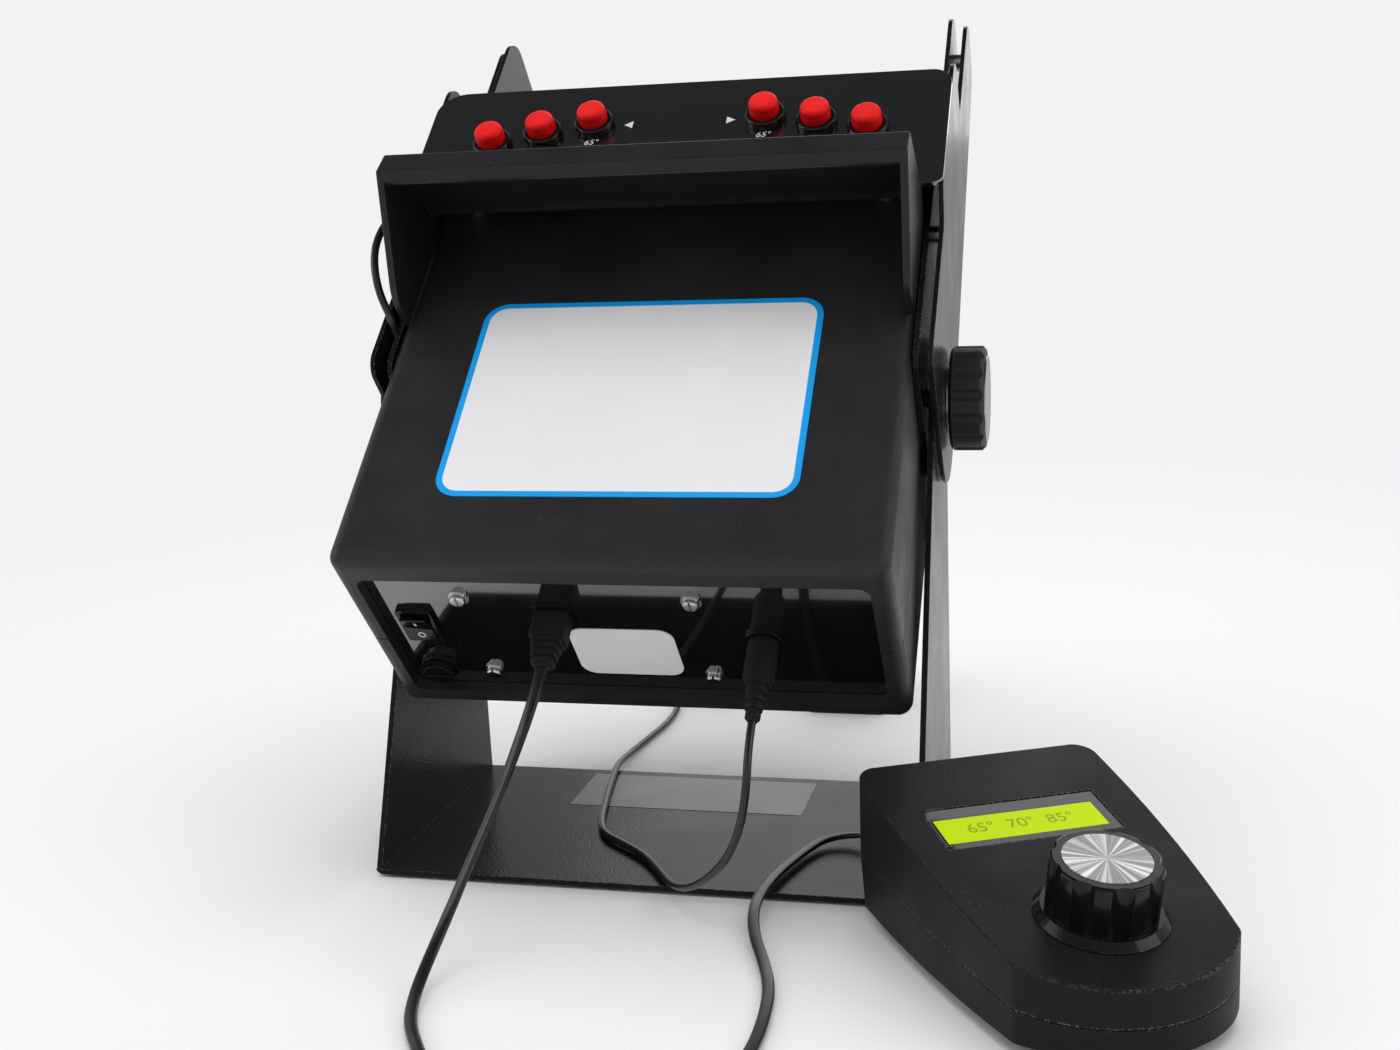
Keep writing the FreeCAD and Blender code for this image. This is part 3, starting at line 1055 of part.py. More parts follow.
def power_cord():
    """The power cord from its plug to the coil, and from there to the adapter."""
    x, z = POWER_PLACE
    exit_y = PANEL_FACE - 1.5 - FIT - 17.0 - 18.0
    points = [head_point(x, exit_y, z), head_point(x, exit_y - 11, z)]
    points += [Vector(*p) for p in (
        (54.5, -106.5, 60), (52, -107, 46), (46, -103.5, 32), (36, -96, 20), (25, -85, 11),
        (15.5, -72, 6.6), (7, -57, 5.5), (-4, -41, 5.5), (-16, -30, 5.5), (-28, -20, 5.5),
        (-34, -5, 5.5), (-38, 14, 5.5), (-42, 34, 5.5), (-45.5, 54, 5.6), (-48, 71, 5.4),
        (-49.5, 88, 2.9), (-48.5, 107, 2.0), (-46, 127, 2.0), (-43.6, 147, 2.0), (-43.4, 167, 2.0),
        (-46, 185, 2.0), (-49.5, 200, 2.0))]
    half_width = COIL_TURNS_ACROSS * POWER_CORD / 2
    coil_side = Vector(COIL_PLACE[0] - COIL_TURN_RADIUS - half_width, COIL_PLACE[1], 2.0)
    first = cord_tube("power_cord", points + [coil_side], POWER_CORD)
    sleeve_x = ADAPTER_PLACE[0] - ADAPTER_SIZE[0] / 2 - ADAPTER_SLEEVE
    adapter_end = Vector(sleeve_x, ADAPTER_PLACE[1], ADAPTER_CORD_Z)
    leave = Vector(COIL_PLACE[0] + COIL_TURN_RADIUS + half_width, COIL_PLACE[1], ADAPTER_CORD_Z)
    span = adapter_end - leave
    second = cord_tube("power_cord_end", [leave, leave + span * 0.4 + Vector(0, 0.6, 0), leave + span * 0.7,
                                          adapter_end], POWER_CORD)
    return [first, second]


def power_cord_coil():
    """The put-away length of the power cord, as one neat ring."""
    half_width = COIL_TURNS_ACROSS * POWER_CORD / 2
    height = COIL_TURNS_HIGH * POWER_CORD
    return tube(COIL_TURN_RADIUS + half_width, COIL_TURN_RADIUS - half_width,
                (*COIL_PLACE, 0.2), (0, 0, 1), height)


def power_adapter():
    """The mains adapter with its two round pins and cord sleeve."""
    x, y = ADAPTER_PLACE
    w, d, h = ADAPTER_SIZE
    body = slab_z(rectangle(x - w / 2, x + w / 2, y - d / 2, y + d / 2, 5.0), 0.0, h)
    body = body.makeFillet(2.0, [edge for edge in body.Edges if edge.CenterOfMass.z > h - 0.01])
    tip = Vector(x - w / 2 - ADAPTER_SLEEVE, y, ADAPTER_CORD_Z)
    sleeve = Part.makeCone(2.6, 3.8, ADAPTER_SLEEVE, tip, Vector(1, 0, 0))
    pins = [rod(2.4, (x + side * 9.5, y + d / 2 - 0.1, h / 2), (0, 1, 0), 19.0) for side in (-1, 1)]
    return fuse_all([body, sleeve] + pins)


def link_cable():
    """The short cable from the hood's side down between the side plates."""
    half = CASE_HALF + LINK_ROOT
    middle = (INNER_PLATE_FACE + OUTER_PLATE_INNER) / 2
    places = ((-half, 38.0, 84.0), (-half - 5, 34.5, 84.4), (-half - 9, 28.5, 84.6),
              (-half - 11, 20.5, 84.0), (-half - 11, 11.5, 82.4), (-half - 9.5, 3.0, 78.8),
              (-half - 7, -4.5, 73.0), (-middle, -9.5, 65.5), (-middle, -12.0, 57.0), (-middle, -12.6, 48.0))
    return cord_tube("link_cable", [head_point(*place) for place in places], LINK_CORD)


def build():
    """Every node of the object, by name."""
    head = {
        "case_upper": case_upper, "case_lower": case_lower, "case_screws": case_screws,
        "control_panel": control_panel, "panel_fixings": panel_fixings, "main_board": main_board,
        "case_labels": case_labels, "switch_body": switch_body, "switch_rocker": switch_rocker,
        "fuse_holder": fuse_holder, "fuse_cap": fuse_cap, "modular_socket": modular_socket,
        "dc_jack": dc_jack, "modular_plug": modular_plug, "dc_plug": dc_plug, "hood": hood,
        "eyepiece_tubes": eyepiece_tubes, "eyepiece_lenses": eyepiece_lenses,
        "face_mask": face_mask, "forehead_pad": forehead_pad, "drum_brackets": drum_brackets,
        "drum_shaft": drum_shaft, "test_drum": test_drum, "test_slides": test_slides,
        "drum_motor": drum_motor, "light_box": light_box, "pivot_plates": pivot_plates,
        "peripheral_bracket": peripheral_bracket, "wing_plates": wing_plates,
        "unit_spacers": unit_spacers, "peripheral_leds": peripheral_leds,
        "peripheral_board": peripheral_board, "button_panel": button_panel,
        "button_housings": button_housings}
    on_top = {"handset_window": handset_window, "handset_display": handset_display,
              "handset_encoder": handset_encoder, "handset_dial": handset_dial,
              "handset_dial_disc": handset_dial_disc}
    in_handset = {"handset_upper_shell": handset_upper_shell, "handset_lower_shell": handset_lower_shell,
                  "handset_feet": handset_feet, "handset_strain_relief": handset_strain_relief}
    plain = {"stand_frame": stand_frame, "base_mat": base_mat, "data_cord": data_cord,
             "power_cord": power_cord, "power_cord_coil": power_cord_coil,
             "power_adapter": power_adapter, "link_cable": link_cable}
    nodes = {name: in_head(joined(make())) for name, make in head.items()}
    nodes.update({name: on_desk(on_handset_top(joined(make()))) for name, make in on_top.items()})
    nodes.update({name: on_desk(joined(make())) for name, make in in_handset.items()})
    nodes.update({name: joined(make()) for name, make in plain.items()})
    for side, word in ((-1, "left"), (1, "right")):
        nodes["clamp_knob_" + word] = in_head(clamp_knob(side))
        nodes["clamp_core_" + word] = in_head(joined(clamp_core(side)))
        for x, y, angle in BUTTON_PLACES:
            nodes["button_%s_%s" % (word, angle)] = in_head(red_button(side * x, y))
    return nodes


def joined(pieces):
    """A list of separate solids as one compound, or a single shape as it is."""
    return Part.makeCompound(pieces) if isinstance(pieces, list) else pieces


os.makedirs("parts", exist_ok=True)
for node_name, node_shape in build().items():
    if not node_shape.isValid():
        print("not valid:", node_name)
    node_shape.exportStep("parts/%s.step" % node_name)
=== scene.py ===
"""Looks of the desktop vision screener: finishes, cords, soft parts and small details."""

import json
import logging
import math
from dataclasses import dataclass, field
from enum import Enum

import bpy
from mathutils import Matrix, Vector
from mathutils.bvhtree import BVHTree

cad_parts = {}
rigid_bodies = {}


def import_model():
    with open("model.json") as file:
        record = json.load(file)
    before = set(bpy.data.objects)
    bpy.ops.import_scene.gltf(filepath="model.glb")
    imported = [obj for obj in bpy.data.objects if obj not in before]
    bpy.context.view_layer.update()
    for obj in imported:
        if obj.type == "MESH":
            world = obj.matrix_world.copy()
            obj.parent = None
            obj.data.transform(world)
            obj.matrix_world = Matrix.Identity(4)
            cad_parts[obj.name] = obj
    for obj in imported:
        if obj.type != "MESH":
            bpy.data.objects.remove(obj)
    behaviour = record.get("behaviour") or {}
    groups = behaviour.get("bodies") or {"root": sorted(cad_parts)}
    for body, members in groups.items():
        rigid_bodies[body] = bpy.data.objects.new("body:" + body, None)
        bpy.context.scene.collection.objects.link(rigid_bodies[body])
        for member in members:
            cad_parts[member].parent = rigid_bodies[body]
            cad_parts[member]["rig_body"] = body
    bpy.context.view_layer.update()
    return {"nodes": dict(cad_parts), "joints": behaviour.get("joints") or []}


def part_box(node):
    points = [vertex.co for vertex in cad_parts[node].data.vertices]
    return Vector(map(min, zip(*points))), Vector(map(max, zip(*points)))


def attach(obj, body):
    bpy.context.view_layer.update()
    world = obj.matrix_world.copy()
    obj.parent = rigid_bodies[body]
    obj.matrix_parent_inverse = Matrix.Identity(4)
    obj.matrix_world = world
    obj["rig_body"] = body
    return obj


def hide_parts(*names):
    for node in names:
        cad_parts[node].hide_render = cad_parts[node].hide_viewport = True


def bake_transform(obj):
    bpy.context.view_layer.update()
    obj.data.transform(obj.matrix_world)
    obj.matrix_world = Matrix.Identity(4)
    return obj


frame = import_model()
LOG = logging.getLogger("screener")
MM = 0.001
INK = 0.03 * MM

Colour = tuple[float, float, float]


# ---------------------------------------------------------------- frames of the object

def joint(name: str) -> dict:
    """The joint of that name."""
    return next(entry for entry in frame["joints"] if entry["name"] == name)


def head_matrix() -> Matrix:
    """The tilting head's frame: its Y runs up the slope of the case.

    Returns:
        The matrix that puts a piece made in the head's frame into its place.
    """
    press = Vector(joint("button_left_65_press")["axis"])
    tilt = math.atan2(press.y, -press.z)
    return Matrix.Translation(joint("head_tilt")["pos_m"]) @ Matrix.Rotation(tilt, 4, "X")


def dial_matrix() -> Matrix:
    """The handset's sloping top, with its origin under the middle of the dial.

    Returns:
        The matrix that puts a piece made on a level top into its place.
    """
    axis = Vector(joint("dial_turn")["axis"])
    turn = math.atan2(axis.x, -axis.y)
    slope = math.acos(axis.z)
    place = Matrix.Translation(joint("dial_turn")["pos_m"])
    return place @ Matrix.Rotation(turn, 4, "Z") @ Matrix.Rotation(slope, 4, "X")


HEAD = head_matrix()
DIAL = dial_matrix()
ROW = Matrix.Identity(4)


def corners(points: list[Vector]) -> tuple[Vector, Vector]:
    """The lowest and highest corners of the box round some points."""
    low = Vector([min(point[axis] for point in points) for axis in range(3)])
    high = Vector([max(point[axis] for point in points) for axis in range(3)])
    return low, high


def local_points(node: str, place: Matrix) -> list[Vector]:
    """The mesh points of a CAD node in a local frame."""
    into = place.inverted()
    return [into @ vertex.co for vertex in frame["nodes"][node].data.vertices]


def local_box(node: str, place: Matrix) -> tuple[Vector, Vector]:
    """The lowest and highest corners of a CAD node in a local frame."""
    return corners(local_points(node, place))


def local_middle(node: str, place: Matrix) -> Vector:
    """The middle of a CAD node's box in a local frame."""
    low, high = local_box(node, place)
    return (low + high) / 2


# ---------------------------------------------------------------- shader groups

class NodeSheet:
    """A node tree with short calls for adding and joining nodes."""

    def __init__(self, tree: bpy.types.NodeTree) -> None:
        """Starts on an existing tree.

        Args:
            tree: The tree to draw in.
        """
        self.tree = tree

    def add(self, kind: str, **settings: object) -> bpy.types.Node:
        """Adds a node and sets its properties.

        Args:
            kind: The node's type without its ShaderNode prefix.
            **settings: Properties of the node.

        Returns:
            The new node.
        """
        prefix = "" if kind.startswith("Node") else "ShaderNode"
        node = self.tree.nodes.new(prefix + kind)
        for key, value in settings.items():
            setattr(node, key, value)
        return node

    def join(self, output: bpy.types.NodeSocket, target: bpy.types.NodeSocket) -> None:
        """Links an output to an input."""
        self.tree.links.new(output, target)

    def math(self, operation: str, first: object, second: object = None) -> bpy.types.NodeSocket:
        """Adds a Math node on sockets or plain numbers.

        Args:
            operation: The operation's name.
            first: The first socket or number.
            second: The second socket or number, where there is one.

        Returns:
            The result's socket.
        """
        node = self.add("Math", operation=operation)
        for index, value in enumerate((first, second)):
            if value is None:
                continue
            if isinstance(value, bpy.types.NodeSocket):
                self.join(value, node.inputs[index])
            else:
                node.inputs[index].default_value = value
        return node.outputs[0]

    def remap(self, value: bpy.types.NodeSocket, low: float, high: float,
              to_low: float = 0.0, to_high: float = 1.0) -> bpy.types.NodeSocket:
        """Maps one range of a value onto another, clamped.

        Args:
            value: The socket to map.
            low: Start of the range.
            high: End of the range.
            to_low: Result at the start.
            to_high: Result at the end.

        Returns:
            The mapped value's socket.
        """
        node = self.add("MapRange")
        self.join(value, node.inputs["Value"])
        for name, number in (("From Min", low), ("From Max", high), ("To Min", to_low), ("To Max", to_high)):
            node.inputs[name].default_value = number
        return node.outputs["Result"]

    def noise(self, vector: bpy.types.NodeSocket, scale: object, detail: float = 3.0) -> bpy.types.NodeSocket:
        """Adds a noise texture.

        Args:
            vector: The position that it reads.
            scale: A number or a socket, in waves per metre.
            detail: Octaves of detail.

        Returns:
            The noise value's socket.
        """
        node = self.add("TexNoise")
        node.inputs["Detail"].default_value = detail
        self.join(vector, node.inputs["Vector"])
        if isinstance(scale, bpy.types.NodeSocket):
            self.join(scale, node.inputs["Scale"])
        else:
            node.inputs["Scale"].default_value = scale
        return node.outputs["Fac"]


def new_group(name: str, inputs: dict[str, float], output: str) -> NodeSheet:
    """Starts a shader group with a position input and number inputs.

    Args:
        name: The group's name.
        inputs: Number inputs and their defaults.
        output: The name of its one output.

    Returns:
        The sheet of the new group.
    """
    tree = bpy.data.node_groups.new(name, "ShaderNodeTree")
    tree.interface.new_socket("Position", in_out="INPUT", socket_type="NodeSocketVector")
    for key, value in inputs.items():
        tree.interface.new_socket(key, in_out="INPUT", socket_type="NodeSocketFloat").default_value = value
    tree.interface.new_socket(output, in_out="OUTPUT", socket_type="NodeSocketFloat")
    return NodeSheet(tree)


class Effects:
    """Shader groups that several finishes share."""

    def __init__(self) -> None:
        """Builds every group once."""
        self.edge_wear_and_highlight = self._edge_wear_and_highlight()
        self.grain = self._grain()
        self.dust = self._dust()

    @staticmethod
    def _edge_wear_and_highlight() -> bpy.types.NodeTree:
        """A mask of lighter flecks along the edges: partly rubbed wear, partly a painted highlight where
        edges catch light.
        """
        sheet = new_group("edge_wear_and_highlight", {"Radius": 0.0008, "Fleck Scale": 900.0, "Amount": 0.5}, "Mask")
        source = sheet.add("NodeGroupInput")
        bevel = sheet.add("Bevel", samples=4)
        sheet.join(source.outputs["Radius"], bevel.inputs["Radius"])
        geometry = sheet.add("NewGeometry")
        dot = sheet.add("VectorMath", operation="DOT_PRODUCT")
        sheet.join(bevel.outputs["Normal"], dot.inputs[0])
        sheet.join(geometry.outputs["Normal"], dot.inputs[1])
        # The rounded edges picked out here carry both the painted highlight and the rubbed wear.
        edge = sheet.remap(sheet.math("SUBTRACT", 1.0, dot.outputs["Value"]), 0.02, 0.16)
        flecks = sheet.noise(source.outputs["Position"], source.outputs["Fleck Scale"], 4.0)
        broken = sheet.remap(flecks, 0.48, 0.62)
        mask = sheet.math("MULTIPLY", sheet.math("MULTIPLY", edge, broken), source.outputs["Amount"])
        sheet.join(mask, sheet.add("NodeGroupOutput").inputs["Mask"])
        return sheet.tree

    @staticmethod
    def _grain() -> bpy.types.NodeTree:
        """The height of a moulded or sprayed grain."""
        sheet = new_group("surface_grain", {"Scale": 2500.0, "Roundness": 0.5}, "Height")
        source = sheet.add("NodeGroupInput")
        cells = sheet.add("TexVoronoi", feature="SMOOTH_F1")
        cells.inputs["Smoothness"].default_value = 0.6
        sheet.join(source.outputs["Position"], cells.inputs["Vector"])
        sheet.join(source.outputs["Scale"], cells.inputs["Scale"])
        noise = sheet.noise(source.outputs["Position"], source.outputs["Scale"], 2.0)
        mix = sheet.add("Mix", data_type="FLOAT")
        sheet.join(source.outputs["Roundness"], mix.inputs[0])
        sheet.join(noise, mix.inputs[2])
        sheet.join(cells.outputs["Distance"], mix.inputs[3])
        sheet.join(mix.outputs[0], sheet.add("NodeGroupOutput").inputs["Height"])
        return sheet.tree

    @staticmethod
    def _dust() -> bpy.types.NodeTree:
        """A mask of fine specks, most of them on faces that look up."""
        sheet = new_group("dust_specks", {"Scale": 900.0, "Amount": 0.3}, "Mask")
        source = sheet.add("NodeGroupInput")
        cells = sheet.add("TexVoronoi")
        sheet.join(source.outputs["Position"], cells.inputs["Vector"])
        sheet.join(source.outputs["Scale"], cells.inputs["Scale"])
        speck = sheet.remap(cells.outputs["Distance"], 0.05, 0.13, 1.0, 0.0)
        patches = sheet.remap(sheet.noise(source.outputs["Position"], 60.0), 0.45, 0.7)
        geometry = sheet.add("NewGeometry")
        split = sheet.add("SeparateXYZ")
        sheet.join(geometry.outputs["Normal"], split.inputs[0])
        upward = sheet.remap(split.outputs["Z"], -0.2, 0.8, 0.15, 1.0)
        mask = sheet.math("MULTIPLY", sheet.math("MULTIPLY", speck, patches), upward)
        sheet.join(sheet.math("MULTIPLY", mask, source.outputs["Amount"]),
                   sheet.add("NodeGroupOutput").inputs["Mask"])
        return sheet.tree


# ---------------------------------------------------------------- finishes

@dataclass(frozen=True)
class Finish:
    """A surface finish: colour, gloss, grain, lighter edges (partly rubbed wear, partly painted highlight)
    and dust.

    Sizes are in metres. Mottling is the share by which the colour and the
    roughness vary over the surface.
    """

    name: str
    slot: str
    colour: Colour
    roughness: float
    metallic: float = 0.0
    coat: float = 0.0
    coat_index: float = 1.5
    specular: float = 0.5
    grain: float = 0.0
    grain_size: float = 0.0005
    roundness: float = 0.5
    mottling: float = 0.12
    # Lighter edge flecks: partly rubbed wear, partly a painted highlight along edges that catch light.
    wear_and_highlight: float = 0.0
    wear_and_highlight_radius: float = 0.0007
    worn_and_lit_colour: Colour = (0.32, 0.32, 0.33)
    dust: float = 0.0
    emission: float = 0.0
    clear: float = 0.0

    def build(self, effects: Effects) -> bpy.types.Material:
        """Makes the material.

        Args:
            effects: The shared shader groups.

        Returns:
            The finished material.
        """
        material = bpy.data.materials.new(self.name)
        material.use_nodes = True
        sheet = NodeSheet(material.node_tree)
        shader = material.node_tree.nodes["Principled BSDF"]
        position = sheet.add("TexCoord").outputs["Object"]
        self.set_plain_values(shader)
        cloud = sheet.noise(position, 35.0, 5.0)
        sheet.join(self.colour_of(sheet, effects, position, cloud), shader.inputs["Base Color"])
        spread = self.roughness * self.mottling * 1.5
        low, high = max(self.roughness - spread, 0.02), min(self.roughness + spread, 1.0)
        sheet.join(sheet.remap(cloud, 0.3, 0.7, low, high), shader.inputs["Roughness"])
        if self.grain > 0.0:
            grain = sheet.add("Group", node_tree=effects.grain)
            grain.inputs["Scale"].default_value = 1.0 / self.grain_size
            grain.inputs["Roundness"].default_value = self.roundness
            sheet.join(position, grain.inputs["Position"])
            bump = sheet.add("Bump")
            bump.inputs["Strength"].default_value = 1.0
            bump.inputs["Distance"].default_value = self.grain
            sheet.join(grain.outputs["Height"], bump.inputs["Height"])
            sheet.join(bump.outputs["Normal"], shader.inputs["Normal"])
        return material

    def set_plain_values(self, shader: bpy.types.Node) -> None:
        """Sets what is the same all over the surface on the shader itself."""
        shader.inputs["Metallic"].default_value = self.metallic
        shader.inputs["Coat Weight"].default_value = self.coat
        shader.inputs["Specular IOR Level"].default_value = self.specular
        shader.inputs["Coat Roughness"].default_value = 0.03
        shader.inputs["Coat IOR"].default_value = self.coat_index
        shader.inputs["Transmission Weight"].default_value = self.clear
        if self.emission > 0.0:
            shader.inputs["Emission Color"].default_value = (*self.colour, 1.0)
            shader.inputs["Emission Strength"].default_value = self.emission

    def colour_of(self, sheet: NodeSheet, effects: Effects, position: bpy.types.NodeSocket,
                  cloud: bpy.types.NodeSocket) -> bpy.types.NodeSocket:
        """Lays out the colour with its mottling, lighter edges (partly rubbed wear, partly painted highlight)
        and dust.

        Args:
            sheet: The material's sheet.
            effects: The shared shader groups.
            position: Object coordinates.
            cloud: A large soft noise.

        Returns:
            The colour's socket.
        """
        darker = tuple(channel * (1.0 - self.mottling) for channel in self.colour)
        lighter = tuple(min(channel * (1.0 + self.mottling), 1.0) for channel in self.colour)
        colour = self.mixed(sheet, sheet.remap(cloud, 0.3, 0.7), (*darker, 1.0), (*lighter, 1.0))
        # Painted highlight and rubbed wear: the edges turn towards a lighter colour in flecks.
        if self.wear_and_highlight > 0.0:
            worn_and_lit = sheet.add("Group", node_tree=effects.edge_wear_and_highlight)
            worn_and_lit.inputs["Radius"].default_value = self.wear_and_highlight_radius
            worn_and_lit.inputs["Amount"].default_value = self.wear_and_highlight
            sheet.join(position, worn_and_lit.inputs["Position"])
            colour = self.mixed(sheet, worn_and_lit.outputs["Mask"], colour, (*self.worn_and_lit_colour, 1.0))
        if self.dust > 0.0:
            dust = sheet.add("Group", node_tree=effects.dust)
            dust.inputs["Amount"].default_value = self.dust
            sheet.join(position, dust.inputs["Position"])
            colour = self.mixed(sheet, dust.outputs["Mask"], colour, (0.42, 0.42, 0.42, 1.0))
        return colour

    @staticmethod
    def mixed(sheet: NodeSheet, share: bpy.types.NodeSocket, first: object,
              second: object) -> bpy.types.NodeSocket:
        """Mixes two colours, each a socket or a plain colour, by a share."""
        mix = sheet.add("Mix", data_type="RGBA")
        sheet.join(share, mix.inputs[0])
        for index, value in ((6, first), (7, second)):
            if isinstance(value, bpy.types.NodeSocket):
                sheet.join(value, mix.inputs[index])
            else:
                mix.inputs[index].default_value = value
        return mix.outputs[2]


@dataclass(frozen=True)
class SpunWithPaintedRays(Finish):
    """Spun metal with painted highlight rays: its colour runs light and dark about an axis, in place of the
    streaked reflections of a spun face.
    """

    centre: tuple[float, float, float] = (0.0, 0.0, 0.0)
    turn: tuple[float, float, float] = (0.0, 0.0, 0.0)
    # How many painted highlight rays run round the disc.
    rays: float = 5.0
    darkest_between_highlights: float = 0.22

    def colour_of(self, sheet: NodeSheet, effects: Effects, position: bpy.types.NodeSocket,
                  cloud: bpy.types.NodeSocket) -> bpy.types.NodeSocket:
        """Painted highlight rays: the colour runs light and dark about the disc's centre."""
        mapping = sheet.add("Mapping", vector_type="TEXTURE")
        mapping.inputs["Location"].default_value = self.centre
        mapping.inputs["Rotation"].default_value = self.turn
        sheet.join(position, mapping.inputs["Vector"])
        split = sheet.add("SeparateXYZ")
        sheet.join(mapping.outputs["Vector"], split.inputs[0])
        angle = sheet.math("ARCTAN2", split.outputs["Y"], split.outputs["X"])
        ring = sheet.add("CombineXYZ")
        sheet.join(sheet.math("COSINE", angle), ring.inputs["X"])
        sheet.join(sheet.math("SINE", angle), ring.inputs["Y"])
        broad = sheet.noise(ring.outputs[0], self.rays, 3.0)
        fine = sheet.noise(ring.outputs[0], self.rays * 9.0, 4.0)
        wide_highlight_rays = sheet.remap(broad, 0.47, 0.62, 0.0, 0.75)
        rays = sheet.math("ADD", wide_highlight_rays, sheet.remap(fine, 0.35, 0.65, 0.0, 0.25))
        # The painted shade between the highlight rays.
        dark = tuple(channel * self.darkest_between_highlights for channel in self.colour)
        return self.mixed(sheet, rays, (*dark, 1.0), (*self.colour, 1.0))


class Surface(Enum):
    """The finishes of the screener."""

    STEEL = Finish("powder_coated_steel", "stand_steel", (0.009, 0.009, 0.010), 0.22, specular=0.12,
                   grain=0.00010, grain_size=0.0011, roundness=0.7, wear_and_highlight=0.55, dust=0.35)
    MOULDED = Finish("moulded_plastic", "moulded_black", (0.018, 0.018, 0.0205), 0.50, specular=0.36,
                     grain=0.00014, grain_size=0.0009, roundness=0.8, wear_and_highlight=0.18,
                     worn_and_lit_colour=(0.12, 0.12, 0.125), dust=0.5)
    # Its wide pale rim is mostly a painted highlight along the top edge, with some rubbed wear.
    HANDSET = Finish("handset_plastic", "moulded_black", (0.013, 0.013, 0.0150), 0.46, specular=0.10,
                     grain=0.00006, grain_size=0.0007, wear_and_highlight=0.8, wear_and_highlight_radius=0.0015,
                     worn_and_lit_colour=(0.30, 0.30, 0.31), dust=0.8)
    HANDSET_BASE = Finish("handset_base_plastic", "moulded_black", (0.013, 0.013, 0.0150), 0.46,
                          specular=0.10, grain=0.00006, grain_size=0.0007, wear_and_highlight=0.25, dust=0.6)
    HOOD = Finish("hood_plastic", "moulded_black", (0.014, 0.014, 0.0155), 0.32, specular=0.32,
                  grain=0.00010, grain_size=0.0012, roundness=0.3, wear_and_highlight=0.25,
                  worn_and_lit_colour=(0.16, 0.16, 0.17), dust=0.9)
    # Its pale edge flecks are mostly a painted highlight on the glossy edges, with some rubbed wear.
    ACRYLIC = Finish("black_acrylic", "gloss_black", (0.006, 0.006, 0.007), 0.07, coat=1.0,
                     coat_index=2.0, specular=1.0, mottling=0.08, wear_and_highlight=0.35, wear_and_highlight_radius=0.0004,
                     worn_and_lit_colour=(0.5, 0.5, 0.5), dust=0.12)
    GLOSS = Finish("polished_plastic", "gloss_black", (0.006, 0.006, 0.007), 0.14, coat=0.15,
                   specular=0.18, mottling=0.1, wear_and_highlight=0.3, wear_and_highlight_radius=0.0004, worn_and_lit_colour=(0.2, 0.2, 0.2),
                   dust=0.1)
    RED = Finish("red_button", "button_red", (0.86, 0.008, 0.008), 0.40, specular=0.15, grain=0.00001,
                 grain_size=0.0006, mottling=0.06)
    LABEL = Finish("label_paper", "label_white", (0.88, 0.88, 0.90), 0.38, specular=0.2, grain=0.00001,
                   mottling=0.015)
    BORDER = Finish("label_border", "label_white", (0.004, 0.37, 0.90), 0.35, specular=0.15, mottling=0.02)
    GREY_LABEL = Finish("grey_label", "label_white", (0.11, 0.11, 0.115), 0.30, mottling=0.08)
    PRINT = Finish("white_print", "label_white", (0.75, 0.75, 0.75), 0.5, mottling=0.05)
    SCREW = Finish("chrome_screw", "bright_screw", (0.62, 0.62, 0.63), 0.16, metallic=1.0)
    PLATED = Finish("plated_steel", "plain_steel", (0.50, 0.50, 0.50), 0.30, metallic=1.0,
                    grain=0.00001, grain_size=0.0004)
    RUBBER = Finish("soft_rubber", "soft_rubber", (0.011, 0.011, 0.012), 0.62, specular=0.25,
                    grain=0.00005, grain_size=0.0006)
    SKIN_RUBBER = Finish("mask_rubber", "soft_rubber", (0.014, 0.014, 0.015), 0.70, grain=0.00008,
                         grain_size=0.0012, roundness=0.8)
    CORD = Finish("cord_sheath", "cord_black", (0.011, 0.011, 0.012), 0.30, grain=0.00002,
                  grain_size=0.0009, dust=0.15)
    BOARD = Finish("solder_mask", "board_green", (0.01, 0.09, 0.035), 0.35, grain=0.00003,
                   grain_size=0.002)
    GLASS = Finish("lens_glass", "lens_glass", (0.95, 0.98, 0.98), 0.02, clear=1.0, mottling=0.0)
    WINDOW = Finish("smoked_window", "window_dark", (0.022, 0.023, 0.025), 0.07, coat=0.3, specular=0.3,
                    mottling=0.05, wear_and_highlight=0.4, wear_and_highlight_radius=0.0005)
    BEZEL = Finish("bezel_line", "window_dark", (0.09, 0.09, 0.095), 0.4)
    DIFFUSER = Finish("frosted_white", "diffuser_white", (0.80, 0.80, 0.78), 0.55)
    FILM = Finish("slide_film", "slide_film", (0.75, 0.75, 0.72), 0.2)
    LAMP = Finish("lamp_resin", "lamp_clear", (0.80, 0.80, 0.74), 0.12, coat=0.5)
    VINYL = Finish("pad_vinyl", "pad_vinyl", (0.020, 0.020, 0.021), 0.42, grain=0.00016,
                   grain_size=0.0016, roundness=0.9)
    DISPLAY = Finish("lit_display", "display_green", (0.40, 0.56, 0.0), 0.40, specular=0.05, emission=0.45,
                     mottling=0.03)
    INK = Finish("display_ink", "display_green", (0.30, 0.44, 0.0), 0.4, specular=0.1)
    # The dial's disc, with painted highlight rays in its colour.
    SPUN = SpunWithPaintedRays("spun_aluminium", "spun_aluminium", (0.82, 0.82, 0.84), 0.22, metallic=1.0,
                      centre=tuple(DIAL.to_translation()), turn=tuple(DIAL.to_euler()), rays=4.6)


class Wardrobe:
    """Every finish as a material, built once."""

    def __init__(self) -> None:
        """Builds the shared groups and then the materials."""
        effects = Effects()
        self.materials = {surface: surface.value.build(effects) for surface in Surface}

    def dress(self, piece: bpy.types.Object, *surfaces: Surface) -> None:
        """Gives a piece its finishes.

        Args:
            piece: A new piece, or a CAD node.
            *surfaces: One finish for each material index.
        """
        slots = piece.data.materials
        while len(slots) > len(surfaces):
            slots.pop()
        while len(slots) < len(surfaces):
            slots.append(None)
        for index, surface in enumerate(surfaces):
            slots[index] = self.materials[surface]


# ---------------------------------------------------------------- modelling moves

